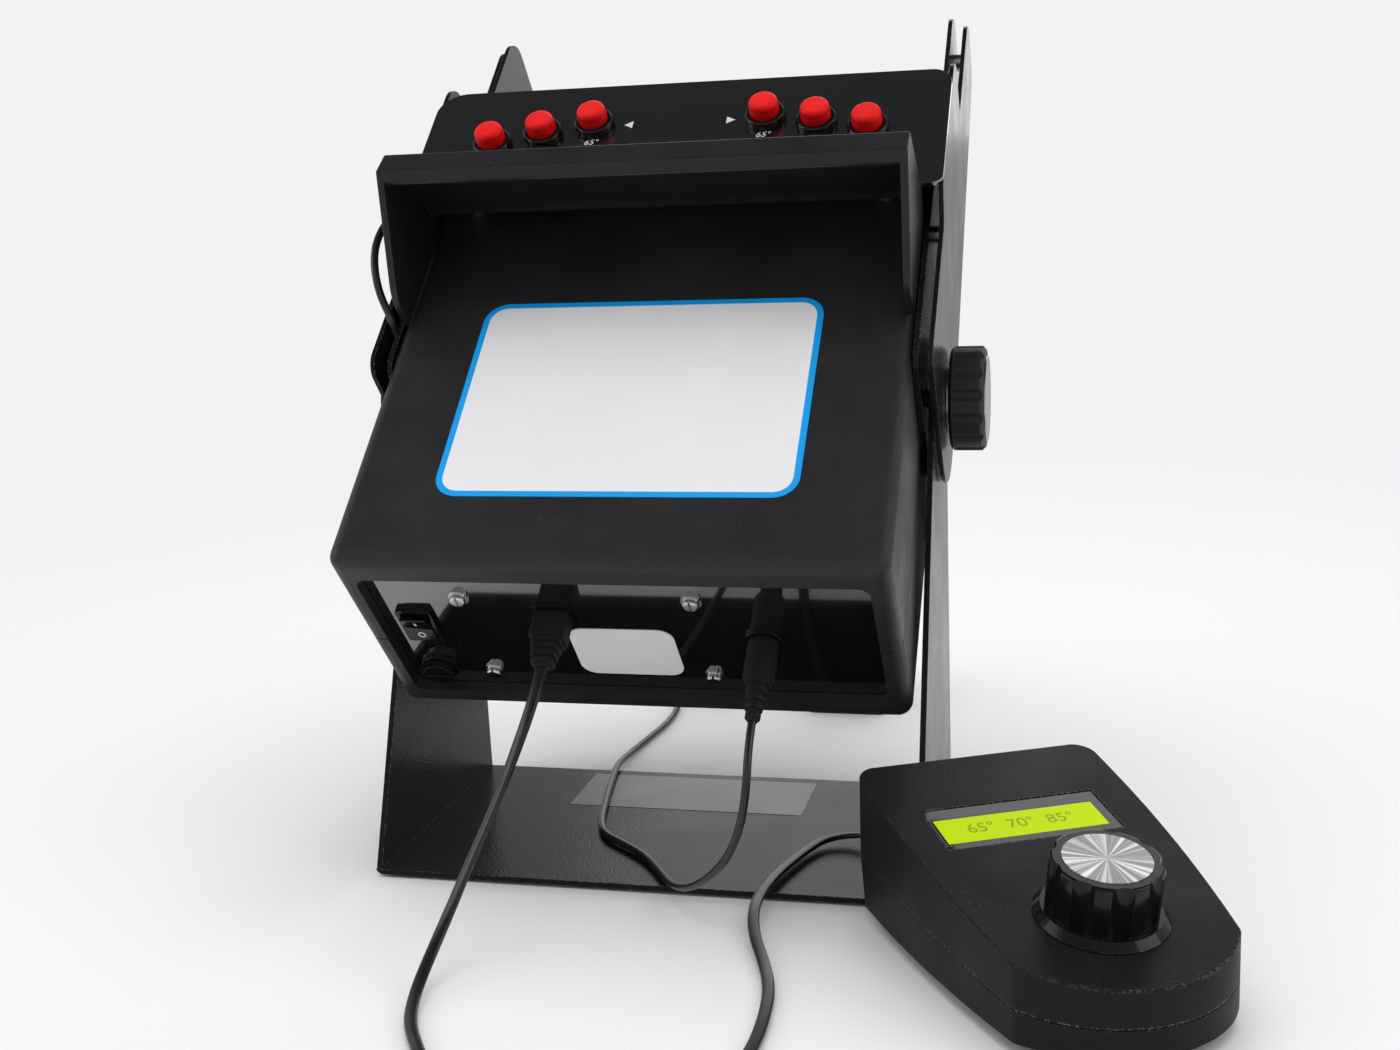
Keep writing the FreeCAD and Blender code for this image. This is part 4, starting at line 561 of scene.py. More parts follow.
def bare_hands() -> None:
    """Leaves edit mode and deselects everything."""
    if bpy.context.object and bpy.context.object.mode != "OBJECT":
        bpy.ops.object.mode_set(mode="OBJECT")
    bpy.ops.object.select_all(action="DESELECT")


def take(piece: bpy.types.Object) -> None:
    """Makes a piece the only one selected, and active."""
    bare_hands()
    piece.select_set(True)
    bpy.context.view_layer.objects.active = piece


def cube(name: str, low: Vector, high: Vector) -> bpy.types.Object:
    """A box primitive between two corners, as a start for a piece.

    Args:
        name: The piece's name.
        low: Its lowest corner.
        high: Its highest corner.

    Returns:
        The new object, with its size applied.
    """
    bare_hands()
    low, high = Vector(low), Vector(high)
    bpy.ops.mesh.primitive_cube_add(size=1.0, location=(low + high) / 2)
    piece = bpy.context.object
    piece.name = name
    piece.scale = high - low
    bpy.ops.object.transform_apply(location=True, rotation=True, scale=True)
    return piece


def cylinder(name: str, radius: float, low: float, high: float, centre: tuple[float, float] = (0.0, 0.0),
             sides: int = 64) -> bpy.types.Object:
    """An upright round primitive, as a start for a piece.

    Args:
        name: The piece's name.
        radius: Its radius.
        low: Height of its lower end.
        high: Height of its upper end.
        centre: Its place in plan.
        sides: How many sides it has.

    Returns:
        The new object.
    """
    bare_hands()
    bpy.ops.mesh.primitive_cylinder_add(vertices=sides, radius=radius, depth=high - low,
                                        location=(centre[0], centre[1], (low + high) / 2))
    piece = bpy.context.object
    piece.name = name
    bpy.ops.object.transform_apply(location=True, rotation=True, scale=True)
    return piece


def pick_nothing(piece: bpy.types.Object, kind: str) -> None:
    """Clears the selection in a piece's mesh and sets what is picked next: FACE or EDGE."""
    take(piece)
    bpy.ops.object.mode_set(mode="EDIT")
    bpy.ops.mesh.select_mode(type=kind)
    bpy.ops.mesh.select_all(action="DESELECT")
    bpy.ops.object.mode_set(mode="OBJECT")


def pick_faces(piece: bpy.types.Object, chosen: object) -> None:
    """Selects faces in edit mode by a test of each one.

    Args:
        piece: The piece.
        chosen: A function of a polygon that says whether to select it.
    """
    pick_nothing(piece, "FACE")
    for polygon in piece.data.polygons:
        polygon.select = bool(chosen(polygon))
    bpy.ops.object.mode_set(mode="EDIT")


def pick_edges(piece: bpy.types.Object, chosen: object) -> None:
    """Selects edges in edit mode by a test of each one's two ends.

    Args:
        piece: The piece.
        chosen: A function of two points that says whether to select the edge.
    """
    pick_nothing(piece, "EDGE")
    points = [vertex.co.copy() for vertex in piece.data.vertices]
    for edge in piece.data.edges:
        edge.select = bool(chosen(points[edge.vertices[0]], points[edge.vertices[1]]))
    bpy.ops.object.mode_set(mode="EDIT")


def apply_bevel(piece: bpy.types.Object, width: float, segments: int = 2, angle: float = 34.0) -> None:
    """Rounds every sharp edge of a piece a little.

    Args:
        piece: The piece.
        width: Width of the rounding.
        segments: Steps across it.
        angle: Edges that turn more than this, in degrees, are rounded.
    """
    take(piece)
    bevel = piece.modifiers.new("rounded_edges", "BEVEL")
    bevel.width = width
    bevel.segments = segments
    bevel.limit_method = "ANGLE"
    bevel.angle_limit = math.radians(angle)
    bpy.ops.object.modifier_apply(modifier=bevel.name)


def smooth(piece: bpy.types.Object, angle: float = 32.0) -> None:
    """Shades a piece smooth, except across sharp edges."""
    take(piece)
    bpy.ops.object.shade_smooth_by_angle(angle=math.radians(angle))


def weigh_normals(piece: bpy.types.Object) -> None:
    """Keeps large flat faces evenly shaded beside their rounded edges."""
    take(piece)
    weighted = piece.modifiers.new("even_shading", "WEIGHTED_NORMAL")
    weighted.keep_sharp = True
    weighted.weight = 100
    bpy.ops.object.modifier_apply(modifier=weighted.name)


def edged_copy(node: str, width: float, segments: int = 2) -> bpy.types.Object:
    """A copy of a CAD node whose sharp edges are slightly rounded.

    Args:
        node: The CAD node's name.
        width: Width of the rounding.
        segments: Steps across it.

    Returns:
        The new object, in place.
    """
    piece = bpy.data.objects.new(node + "_shape", frame["nodes"][node].data.copy())
    bpy.context.scene.collection.objects.link(piece)
    take(piece)
    if piece.data.has_custom_normals:
        bpy.ops.mesh.customdata_custom_splitnormals_clear()
    bpy.ops.object.mode_set(mode="EDIT")
    bpy.ops.mesh.select_all(action="SELECT")
    bpy.ops.mesh.remove_doubles(threshold=0.000004)
    bpy.ops.mesh.dissolve_limited(angle_limit=math.radians(0.6))
    bpy.ops.object.mode_set(mode="OBJECT")
    apply_bevel(piece, width, segments)
    smooth(piece)
    weigh_normals(piece)
    return piece


@dataclass
class Assembly:
    """A sub-assembly: it knows its finishes and the body that it rides on."""

    wardrobe: Wardrobe
    body: str = "base"
    made: list[str] = field(default_factory=list)

    def settle(self, piece: bpy.types.Object, *surfaces: Surface, place: Matrix = ROW, body: str = "",
               stands_for: tuple[str, ...] = ()) -> bpy.types.Object:
        """Puts a new piece in place, dresses it and fixes it to its body.

        Args:
            piece: The new piece, modelled in a local frame.
            *surfaces: Its finishes.
            place: The local frame's matrix.
            body: The body that it rides on, if not the assembly's own.
            stands_for: CAD nodes that it replaces.

        Returns:
            The same piece.
        """
        take(piece)
        piece.matrix_world = place @ piece.matrix_world
        bpy.context.view_layer.update()
        bpy.ops.object.transform_apply(location=True, rotation=True, scale=True)
        self.wardrobe.dress(piece, *surfaces)
        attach(piece, body or self.body)
        if stands_for:
            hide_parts(*stands_for)
        self.made.append(piece.name)
        LOG.info("%s rides on %s", piece.name, body or self.body)
        return piece

    def edged(self, node: str, width: float, *surfaces: Surface, segments: int = 2) -> bpy.types.Object:
        """Replaces a CAD node by a copy with rounded edges, on the same body."""
        body = frame["nodes"][node]["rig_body"]
        return self.settle(edged_copy(node, width, segments), *surfaces, body=body, stands_for=(node,))

    def printed(self, name: str, words: str, height: float, at: tuple[float, float, float], place: Matrix,
                surface: Surface = Surface.PRINT, lean: float = 0.0) -> None:
        """Prints characters on a level face of a local frame.

        Args:
            name: The piece's name.
            words: The characters.
            height: Their size.
            at: The middle of the line, in the local frame.
            place: The local frame's matrix.
            surface: The ink.
            lean: How far the characters slant.
        """
        bare_hands()
        bpy.ops.object.text_add(location=at)
        line = bpy.context.object
        line.name = name
        line.data.body = words
        line.data.size = height
        line.data.align_x = "CENTER"
        line.data.align_y = "CENTER"
        line.data.shear = lean
        line.data.offset = INK
        line.data.extrude = INK
        bpy.ops.object.convert(target="MESH")
        bpy.ops.object.transform_apply(location=True, rotation=True, scale=True)
        self.settle(bpy.context.object, surface, place=place)

    def coat(self, surface: Surface, *nodes: str) -> None:
        """Gives CAD nodes that stay as they are a finish."""
        for node in nodes:
            self.wardrobe.dress(frame["nodes"][node], surface)
            smooth(frame["nodes"][node])
            LOG.info("%s keeps its shape", node)


# ---------------------------------------------------------------- studio

@dataclass
class Studio:
    """The camera, the lamps, the floor and the world."""

    camera_place: tuple[float, float, float] = (0.1793, -0.6762, 0.2698)
    pan: float = 13.672
    pitch: float = 10.666
    roll: float = -2.041
    lens: float = 42.85
    floor_colour: Colour = (0.96, 0.955, 0.965)
    floor_full: float = 0.35
    floor_gone: float = 1.2
    sky_colour: Colour = (0.985, 0.985, 1.0)
    sky_strength: float = 0.50
    seen_strength: float = 0.90
    ceiling: tuple[float, float] = (0.5, 0.85)
    ceiling_change: tuple[float, float] = (0.10, -0.44)

    def build(self) -> None:
        """Sets the whole studio up."""
        self.camera()
        self.lamps()
        self.floor()
        self.world()
        bpy.context.scene.view_settings.view_transform = "Standard"

    def camera(self) -> None:
        """The camera, in front of the operator's side and a little to its right."""
        pan, pitch, roll = (math.radians(angle) for angle in (self.pan, self.pitch, self.roll))
        ahead = Vector((-math.sin(pan), math.cos(pan), 0.0))
        forward = ahead * math.cos(pitch) - Vector((0.0, 0.0, math.sin(pitch)))
        level = Vector((math.cos(pan), math.sin(pan), 0.0))
        up = level.cross(forward)
        right = math.cos(roll) * level + math.sin(roll) * up
        up = -math.sin(roll) * level + math.cos(roll) * up
        turn = Matrix((right, up, -forward)).transposed().to_4x4()
        data = bpy.data.cameras.new("camera")
        data.lens = self.lens
        data.sensor_width = 36.0
        data.clip_start = 0.01
        camera = bpy.data.objects.new("camera", data)
        bpy.context.scene.collection.objects.link(camera)
        camera.matrix_world = Matrix.Translation(self.camera_place) @ turn
        bpy.context.scene.camera = camera

    def lamps(self) -> None:
        """A large soft lamp overhead, one at each side and one behind."""
        self.lamp("overhead", (0.0, -0.1, 1.6), (0.0, 0.0, 0.1), 1.6, 12.0).visible_glossy = False
        self.lamp("left_side", (-1.5, -0.5, 0.9), (0.0, 0.0, 0.2), 1.0, 5.0)
        self.lamp("right_side", (1.5, -0.2, 1.0), (0.0, 0.0, 0.2), 1.0, 5.0)
        self.lamp("behind", (0.1, 1.6, 1.0), (0.0, 0.0, 0.25), 1.4, 6.0)

    @staticmethod
    def lamp(name: str, place: tuple, aim: tuple, size: float, power: float) -> bpy.types.Object:
        """Adds one square soft lamp.

        Args:
            name: The lamp's name.
            place: Where it hangs.
            aim: The point that it faces.
            size: Its side.
            power: Its power in watts.

        Returns:
            The lamp.
        """
        data = bpy.data.lights.new(name, "AREA")
        data.size = size
        data.energy = power
        lamp = bpy.data.objects.new(name, data)
        bpy.context.scene.collection.objects.link(lamp)
        lamp.location = place
        lamp.rotation_euler = (Vector(aim) - Vector(place)).to_track_quat("-Z", "Y").to_euler()
        return lamp

    def floor(self) -> None:
        """A pale floor that fades into the background."""
        bare_hands()
        bpy.ops.mesh.primitive_plane_add(size=40.0, location=(0.0, 0.0, 0.0))
        floor = bpy.context.object
        floor.name = "studio_floor"
        material = bpy.data.materials.new("studio_floor")
        material.use_nodes = True
        shader = material.node_tree.nodes["Principled BSDF"]
        shader.inputs["Base Color"].default_value = (*self.floor_colour, 1.0)
        shader.inputs["Roughness"].default_value = 0.8
        shader.inputs["Specular IOR Level"].default_value = 0.1
        sheet = NodeSheet(material.node_tree)
        reach = sheet.add("VectorMath", operation="LENGTH")
        sheet.join(sheet.add("TexCoord").outputs["Object"], reach.inputs[0])
        faded = sheet.remap(reach.outputs["Value"], self.floor_full, self.floor_gone, 1.0, 0.0)
        sheet.join(faded, shader.inputs["Alpha"])
        floor.data.materials.append(material)

    def world(self) -> None:
        """A pale world that looks near white, with a dark ceiling in the reflections."""
        world = bpy.data.worlds.new("studio")
        world.use_nodes = True
        bpy.context.scene.world = world
        sheet = NodeSheet(world.node_tree)
        shader = world.node_tree.nodes["Background"]
        rays = sheet.add("LightPath")
        seen = sheet.math("MAXIMUM", rays.outputs["Is Camera Ray"], rays.outputs["Is Transmission Ray"])
        split = sheet.add("SeparateXYZ")
        sheet.join(sheet.add("TexCoord").outputs["Generated"], split.inputs[0])
        ceiling = sheet.remap(split.outputs["Z"], *self.ceiling, *self.ceiling_change)
        mirrored = sheet.math("MULTIPLY", ceiling, rays.outputs["Is Glossy Ray"])
        plain = sheet.remap(seen, 0.0, 1.0, self.sky_strength, self.seen_strength)
        sheet.join(sheet.math("ADD", plain, mirrored), shader.inputs["Strength"])
        shader.inputs["Color"].default_value = (*self.sky_colour, 1.0)


# ---------------------------------------------------------------- cords

DATA_ROUTE = (
    (-32, -117, 71), (-38, -124, 54), (-44.5, -131.5, 38), (-50, -141, 22), (-53, -154, 10.5),
    (-52.5, -171, 3.8), (-47, -190, 2.4), (-36, -208, 2.3), (-24, -226, 2.3), (-5, -242, 2.3),
    (18, -248, 2.3), (42, -243, 2.3), (60, -228, 2.3), (69, -208, 2.3), (72, -187, 2.3),
    (71.5, -165, 2.3), (69, -144, 2.3), (63, -125, 2.6), (56.5, -109, 4.4), (52.5, -92, 6.6),
    (52, -75, 6.8), (54, -57, 6.4), (58, -40, 6.2), (62.6, -25.5, 6.2), (67.4, -15, 6.5),
    (77.1, -10.1, 7.3), (87.6, -12.9, 8.8), (93.6, -21.9, 10.8), (95.2, -32, 12.6))
POWER_ROUTE = (
    (54.5, -106.5, 60), (52, -107, 46), (46, -103.5, 32), (36, -96, 20), (25, -85, 11),
    (15.5, -72, 6.6), (7, -57, 5.5), (-4, -41, 5.5), (-16, -30, 5.5), (-28, -20, 5.5),
    (-34, -5, 5.5), (-38, 14, 5.5), (-42, 34, 5.5), (-45.5, 54, 5.6), (-48, 71, 5.4),
    (-49.5, 88, 2.9), (-48.5, 107, 2.0), (-46, 127, 2.0), (-43.6, 147, 2.0), (-43.4, 167, 2.0),
    (-46, 185, 2.0), (-49.5, 200, 2.0))
ROUND_SECTION, FLAT_SECTION = 2.0, 3.2
NEARLY_UPRIGHT = 0.15
LEAVE_STEPS = ((-22.0, 10.8, 3.2), (-15.0, 5.2, 2.0), (-8.6, 1.2, 0.6))
LINK_ROUTE = (
    (0.0, 38.0, 84.0), (-5.0, 34.5, 84.4), (-9.0, 28.5, 84.6), (-11.0, 20.5, 84.0), (-11.0, 11.5, 82.4),
    (-9.5, 3.0, 78.8), (-7.0, -4.5, 73.0), (-3.6, -9.5, 65.5), (-3.6, -12.0, 57.0), (-3.6, -12.6, 48.0))


def in_metres(points: tuple) -> list[Vector]:
    """Points in millimetres as vectors in metres."""
    return [Vector(point) * MM for point in points]


def spline_line(name: str, points: list[Vector], steps: int = 10) -> list[Vector]:
    """The smooth line of a NURBS spline through a cord's route.

    Args:
        name: A name for the passing curve.
        points: Its control points.
        steps: Samples between two control points.

    Returns:
        Points along the line.
    """
    data = bpy.data.curves.new(name, "CURVE")
    data.dimensions = "3D"
    data.resolution_u = steps
    spline = data.splines.new("NURBS")
    spline.points.add(len(points) - 1)
    for target, point in zip(spline.points, points):
        target.co = (*point, 1.0)
    spline.order_u = 3
    spline.use_endpoint_u = True
    holder = bpy.data.objects.new(name, data)
    bpy.context.scene.collection.objects.link(holder)
    bpy.context.view_layer.update()
    depsgraph = bpy.context.evaluated_depsgraph_get()
    mesh = bpy.data.meshes.new_from_object(holder.evaluated_get(depsgraph))
    line = [vertex.co.copy() for vertex in mesh.vertices]
    bpy.data.objects.remove(holder)
    bpy.data.meshes.remove(mesh)
    return line


def sheath(name: str, line: list[Vector], width: float, thickness: float,
           sides: int = 12) -> bpy.types.Object:
    """A closed sheath of oval section along a line, its width kept level.

    Args:
        name: The piece's name.
        line: The line that it follows.
        width: Its level width.
        thickness: Its height.
        sides: Points round its section.

    Returns:
        The new mesh object.
    """
    vertices, faces = [], []
    flat = ROUND_SECTION if width <= thickness * 1.05 else FLAT_SECTION
    count = len(line)
    across = None
    for index, point in enumerate(line):
        ahead = (line[min(index + 1, count - 1)] - line[max(index - 1, 0)]).normalized()
        level = ahead.cross(Vector((0.0, 0.0, 1.0)))
        if level.length < NEARLY_UPRIGHT and across is not None:
            level = across - ahead * across.dot(ahead)
        across = level.normalized()
        over = across.cross(ahead).normalized()
        for side in range(sides):
            turn = 2.0 * math.pi * side / sides
            c, s = math.cos(turn), math.sin(turn)
            u = math.copysign(abs(c) ** (2.0 / flat), c) * width / 2.0
            v = math.copysign(abs(s) ** (2.0 / flat), s) * thickness / 2.0
            vertices.append(point + across * u + over * v)
    for index in range(count - 1):
        for side in range(sides):
            a, b = index * sides + side, index * sides + (side + 1) % sides
            faces.append((a, a + sides, b + sides, b))
    faces.append(tuple(range(sides)))
    faces.append(tuple(reversed(range((count - 1) * sides, count * sides))))
    mesh = bpy.data.meshes.new(name)
    mesh.from_pydata(vertices, [], faces)
    piece = bpy.data.objects.new(name, mesh)
    bpy.context.scene.collection.objects.link(piece)
    take(piece)
    bpy.ops.object.mode_set(mode="EDIT")
    bpy.ops.mesh.select_all(action="SELECT")
    bpy.ops.mesh.normals_make_consistent(inside=False)
    bpy.ops.object.mode_set(mode="OBJECT")
    smooth(piece, 50.0)
    return piece


@dataclass
class Cords(Assembly):
    """The data cord, the power cord with its coil, and the short link cable."""

    data_width: float = 4.6 * MM
    data_thickness: float = 2.3 * MM
    power_diameter: float = 3.2 * MM
    link_diameter: float = 3.3 * MM
    turns_across: int = 3
    turns_high: int = 4
    points_per_turn: int = 14
    last_points: int = 5
    crossover: float = 0.55
    plug_lead: float = 14.0 * MM
    power_lead: float = 11.0 * MM
    entry_lead: float = 10.0 * MM
    sleeve_height: float = 8.0 * MM
    bend_end: float = 17.0 * MM
    tie_width: float = 6.0 * MM
    tie_gap: float = 0.45 * MM
    tie_wall: float = 0.3 * MM

    def build(self) -> None:
        """Makes the three cords."""
        self.data_cord()
        self.power_cord()
        self.coil_tie()
        self.link_cable()

    def plug_tip(self, node: str) -> Vector:
        """The middle of a plug's free end, where its cord leaves it."""
        low, high = local_box(node, HEAD)
        return Vector(((low.x + high.x) / 2, low.y, (low.z + high.z) / 2))

    def leave_plug(self, node: str, lead: float) -> list[Vector]:
        """The first two points of a cord that leaves a plug straight."""
        tip = self.plug_tip(node)
        return [HEAD @ tip, HEAD @ (tip - Vector((0.0, lead, 0.0)))]

    def bend_with_head(self, piece: bpy.types.Object, tip: Vector) -> None:
        """Dresses a cord and bakes its transform; the whole cord stays where it lies."""
        self.wardrobe.dress(piece, Surface.CORD)
        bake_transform(piece)
        self.made.append(piece.name)
        LOG.info("%s bends between head and base", piece.name)

    def data_cord(self) -> None:
        """The flat cord from the case to the handset."""
        sleeve = frame["nodes"]["handset_strain_relief"]
        axis = joint("dial_turn")["axis"]
        back = Vector((-axis[0], -axis[1], 0.0)).normalized()
        reach = max(vertex.co.dot(back) for vertex in sleeve.data.vertices)
        rim = [vertex.co for vertex in sleeve.data.vertices if vertex.co.dot(back) > reach - 0.0002]
        entry = sum(rim, Vector()) / len(rim)
        lead_in = entry + back * self.entry_lead
        start = self.leave_plug("modular_plug", self.plug_lead)
        line = spline_line("data_route", start + in_metres(DATA_ROUTE) + [lead_in, entry])
        cord = sheath("flat_data_cord", line, self.data_width, self.data_thickness)
        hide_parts("data_cord")
        self.bend_with_head(cord, start[0])

    def coil_points(self) -> list[Vector]:
        """The turns of the put-away coil, side by side and layer on layer."""
        low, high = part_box("power_cord_coil")
        centre = (low + high) / 2
        outer = (high.x - low.x) / 2 - self.power_diameter / 2
        points = []
        total = self.turns_across * self.turns_high
        steps = (total - 1) * self.points_per_turn + self.last_points
        for step in range(1, steps + 1):
            ring, share = divmod(step / self.points_per_turn, 1.0)
            here, there = self.ring_place(int(ring)), self.ring_place(min(int(ring) + 1, total - 1))
            moved = max(0.0, (share - self.crossover) / (1.0 - self.crossover))
            moved = moved * moved * (3.0 - 2.0 * moved)
            across = here[0] + (there[0] - here[0]) * moved
            layer = here[1] + (there[1] - here[1]) * moved
            radius = outer - across * self.power_diameter
            angle = math.pi - 2.0 * math.pi * share
            height = low.z + self.power_diameter * (layer + 0.5)
            round_centre = radius * Vector((math.cos(angle), math.sin(angle), 0.0))
            points.append(Vector((centre.x, centre.y, height)) + round_centre)
        return points

    def ring_place(self, ring: int) -> tuple[int, int]:
        """Where a turn of the coil lies: how far in from the outside, and its layer."""
        layer, place = divmod(ring, self.turns_across)
        return (place if layer % 2 == 0 else self.turns_across - 1 - place), layer

    def power_cord(self) -> None:
        """The thin round power lead, its coil and its end at the adapter."""
        start = self.leave_plug("dc_plug", self.power_lead)
        sleeve_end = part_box("power_adapter")[0].x
        coil_low, coil_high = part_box("power_cord_coil")
        sleeve_tip = Vector((sleeve_end, (coil_low.y + coil_high.y) / 2, self.sleeve_height))
        coil = self.coil_points()
        leave = [sleeve_tip + step for step in in_metres(LEAVE_STEPS)]
        line = spline_line("power_route", start + in_metres(POWER_ROUTE) + coil + leave + [sleeve_tip], 6)
        cord = sheath("round_power_cord", line, self.power_diameter, self.power_diameter, 10)
        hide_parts("power_cord", "power_cord_coil")
        self.bend_with_head(cord, start[0])

    def coil_tie(self) -> None:
        """The band that holds the coil's turns together."""
        low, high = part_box("power_cord_coil")
        centre = (low + high) / 2
        inner = high.x - self.turns_across * self.power_diameter
        half = self.tie_width / 2
        tie = cube("coil_tie", (inner - self.tie_gap, centre.y - half, low.z - 0.02 * MM),
                   (high.x + self.tie_gap, centre.y + half, high.z + self.tie_gap))
        pick_faces(tie, lambda face: abs(face.normal.y) > 0.9)
        bpy.ops.mesh.delete(type="FACE")
        bpy.ops.object.mode_set(mode="OBJECT")
        wall = tie.modifiers.new("wall", "SOLIDIFY")
        wall.thickness = self.tie_wall
        wall.offset = 0.0
        bpy.ops.object.modifier_apply(modifier=wall.name)
        apply_bevel(tie, 0.1 * MM, 2)
        smooth(tie)
        self.settle(tie, Surface.RUBBER)

    def link_cable(self) -> None:
        """The short loop at the left of the hood."""
        root = Vector((local_box("link_cable", HEAD)[1].x, 0.0, 0.0))
        points = [HEAD @ (root + point) for point in in_metres(LINK_ROUTE)]
        line = spline_line("link_route", points)
        cable = sheath("link_loop", line, self.link_diameter, self.link_diameter)
        self.settle(cable, Surface.CORD, body="head", stands_for=("link_cable",))


# ---------------------------------------------------------------- sub-assemblies

@dataclass
class Stand(Assembly):
    """The bent steel stand with its mat and blank label."""

    label_low: tuple[float, float] = (-56.0 * MM, 18.5 * MM)
    label_high: tuple[float, float] = (52.0 * MM, 61.0 * MM)
    label_thickness: float = 0.15 * MM
    steel_face: float = 3.6 * MM

    def build(self) -> None:
        """Dresses the stand and adds its label."""
        self.edged("stand_frame", 0.5 * MM, Surface.STEEL)
        self.coat(Surface.RUBBER, "base_mat")
        label = cube("base_label", (*self.label_low, self.steel_face),
                     (*self.label_high, self.steel_face + self.label_thickness))
        apply_bevel(label, 0.06 * MM, 1)
        self.settle(label, Surface.GREY_LABEL)


@dataclass
class Case(Assembly):
    """The tilting case with its labels, control panel and fittings."""

    body: str = "head"
    border: float = 2.6 * MM
    label_thickness: float = 0.25 * MM
    label_corner: float = 10.0 * MM
    sticker_corner: float = 6.5 * MM
    sticker_reach: float = 10.0 * MM
    mark_on_rise: float = 4.2 * MM
    mark_off_rise: float = -4.4 * MM
    mark_width: float = 0.7 * MM
    mark_length: float = 2.6 * MM
    mark_ring: float = 1.4 * MM
    mark_stroke: float = 0.28 * MM
    label_area: float = 0.002
    standoff: float = 5.0 * MM

    def build(self) -> None:
        """Makes the case's shells, labels and panel."""
        for shell in ("case_upper", "case_lower"):
            self.edged(shell, 0.35 * MM, Surface.MOULDED)
        self.edged("control_panel", 0.3 * MM, Surface.ACRYLIC)
        self.labels()
        self.rocker()
        self.fittings()
        self.insides()

    def rounded_label(self, name: str, low: Vector, high: Vector, corner: float) -> bpy.types.Object:
        """A thin level plate with rounded corners.

        Args:
            name: The piece's name.
            low: Its lowest corner.
            high: Its highest corner.
            corner: Radius of its corners.

        Returns:
            The new object, in a local frame where Z is its thickness.
        """
        plate = cube(name, low, high)
        pick_edges(plate, lambda a, b: abs(a.x - b.x) < 1e-6 and abs(a.y - b.y) < 1e-6)
        bpy.ops.mesh.bevel(offset=corner, segments=10, affect="EDGES")
        bpy.ops.object.mode_set(mode="OBJECT")
        return plate

    def labels(self) -> None:
        """The white label with its blue border, and the small sticker."""
        points = local_points("case_labels", HEAD)
        panel_face = local_box("control_panel", HEAD)[0].y
        beside = [point for point in points if point.y < panel_face + self.sticker_reach]
        above = [point for point in points if point.y > panel_face + self.sticker_reach]
        low, high = corners(above)
        label = self.rounded_label("top_label", Vector((low.x, low.y, high.z - self.label_thickness)),
                                   high, self.label_corner)
        pick_faces(label, lambda face: face.normal.z > 0.9)
        bpy.ops.mesh.inset(thickness=self.border, depth=0.0)
        bpy.ops.object.mode_set(mode="OBJECT")
        for face in label.data.polygons:
            centre = face.center
            inside = low.x + self.border < centre.x < high.x - self.border
            face.material_index = 0 if face.normal.z > 0.9 and inside and face.area > self.label_area else 1
        self.settle(label, Surface.LABEL, Surface.BORDER, place=HEAD, stands_for=("case_labels",))
        low, high = corners(beside)
        upright = Matrix.Rotation(math.radians(90.0), 4, "X")
        sticker = self.rounded_label("panel_sticker", Vector((low.x, low.z, -high.y)),
                                     Vector((high.x, high.z, -low.y)), self.sticker_corner)
        self.settle(sticker, Surface.LABEL, place=HEAD @ upright)

    def on_rocker(self, rise: float) -> Matrix:
        """The place on the rocker's sloping face at a height above its middle.

        Args:
            rise: The height above its middle.

        Returns:
            A local frame in that face, with Y pointing into the rocker.
        """
        mesh = frame["nodes"]["switch_rocker"].data
        surface = BVHTree.FromPolygons([vertex.co for vertex in mesh.vertices],
                                       [polygon.vertices for polygon in mesh.polygons])
        low, high = local_box("switch_rocker", HEAD)
        start = Vector(((low.x + high.x) / 2, low.y - self.standoff, (low.z + high.z) / 2 + rise))
        inward = HEAD.to_3x3() @ Vector((0.0, 1.0, 0.0))
        spot, normal, _, _ = surface.ray_cast(HEAD @ start, inward)
        facing = HEAD.to_3x3().inverted() @ normal
        lean = math.atan2(-facing.z, -facing.y)
        return HEAD @ Matrix.Translation(HEAD.inverted() @ spot) @ Matrix.Rotation(lean, 4, "X")

    def rocker(self) -> None:
        """The rocker with its I and O marks."""
        self.edged("switch_rocker", 0.3 * MM, Surface.GLOSS)
        self.edged("switch_body", 0.3 * MM, Surface.GLOSS)
        bar = cube("mark_on", (-self.mark_width / 2, -0.06 * MM, -self.mark_length / 2),
                   (self.mark_width / 2, 0.2 * MM, self.mark_length / 2))
        self.settle(bar, Surface.PRINT, place=self.on_rocker(self.mark_on_rise), body="rocker")
        bare_hands()
        bpy.ops.mesh.primitive_torus_add(major_radius=self.mark_ring, minor_radius=self.mark_stroke,
                                         major_segments=32, minor_segments=8,
                                         rotation=(math.radians(90.0), 0.0, 0.0))
        ring = bpy.context.object
        ring.name = "mark_off"
        self.settle(ring, Surface.PRINT, place=self.on_rocker(self.mark_off_rise), body="rocker")

    def fittings(self) -> None:
        """The fuse, sockets, plugs and screws of the control panel."""
        for node in ("fuse_holder", "fuse_cap", "modular_socket", "dc_jack"):
            self.edged(node, 0.25 * MM, Surface.GLOSS)
        self.edged("modular_plug", 0.35 * MM, Surface.RUBBER)
        self.edged("dc_plug", 0.35 * MM, Surface.RUBBER)
        self.coat(Surface.SCREW, "panel_fixings")

    def insides(self) -> None:
        """Finishes for what the case holds."""
        self.coat(Surface.PLATED, "case_screws", "drum_brackets", "drum_shaft", "pivot_plates")
        self.coat(Surface.BOARD, "main_board", "peripheral_board")
        self.coat(Surface.MOULDED, "drum_motor", "test_drum")
        self.coat(Surface.DIFFUSER, "light_box")
        self.coat(Surface.FILM, "test_slides")


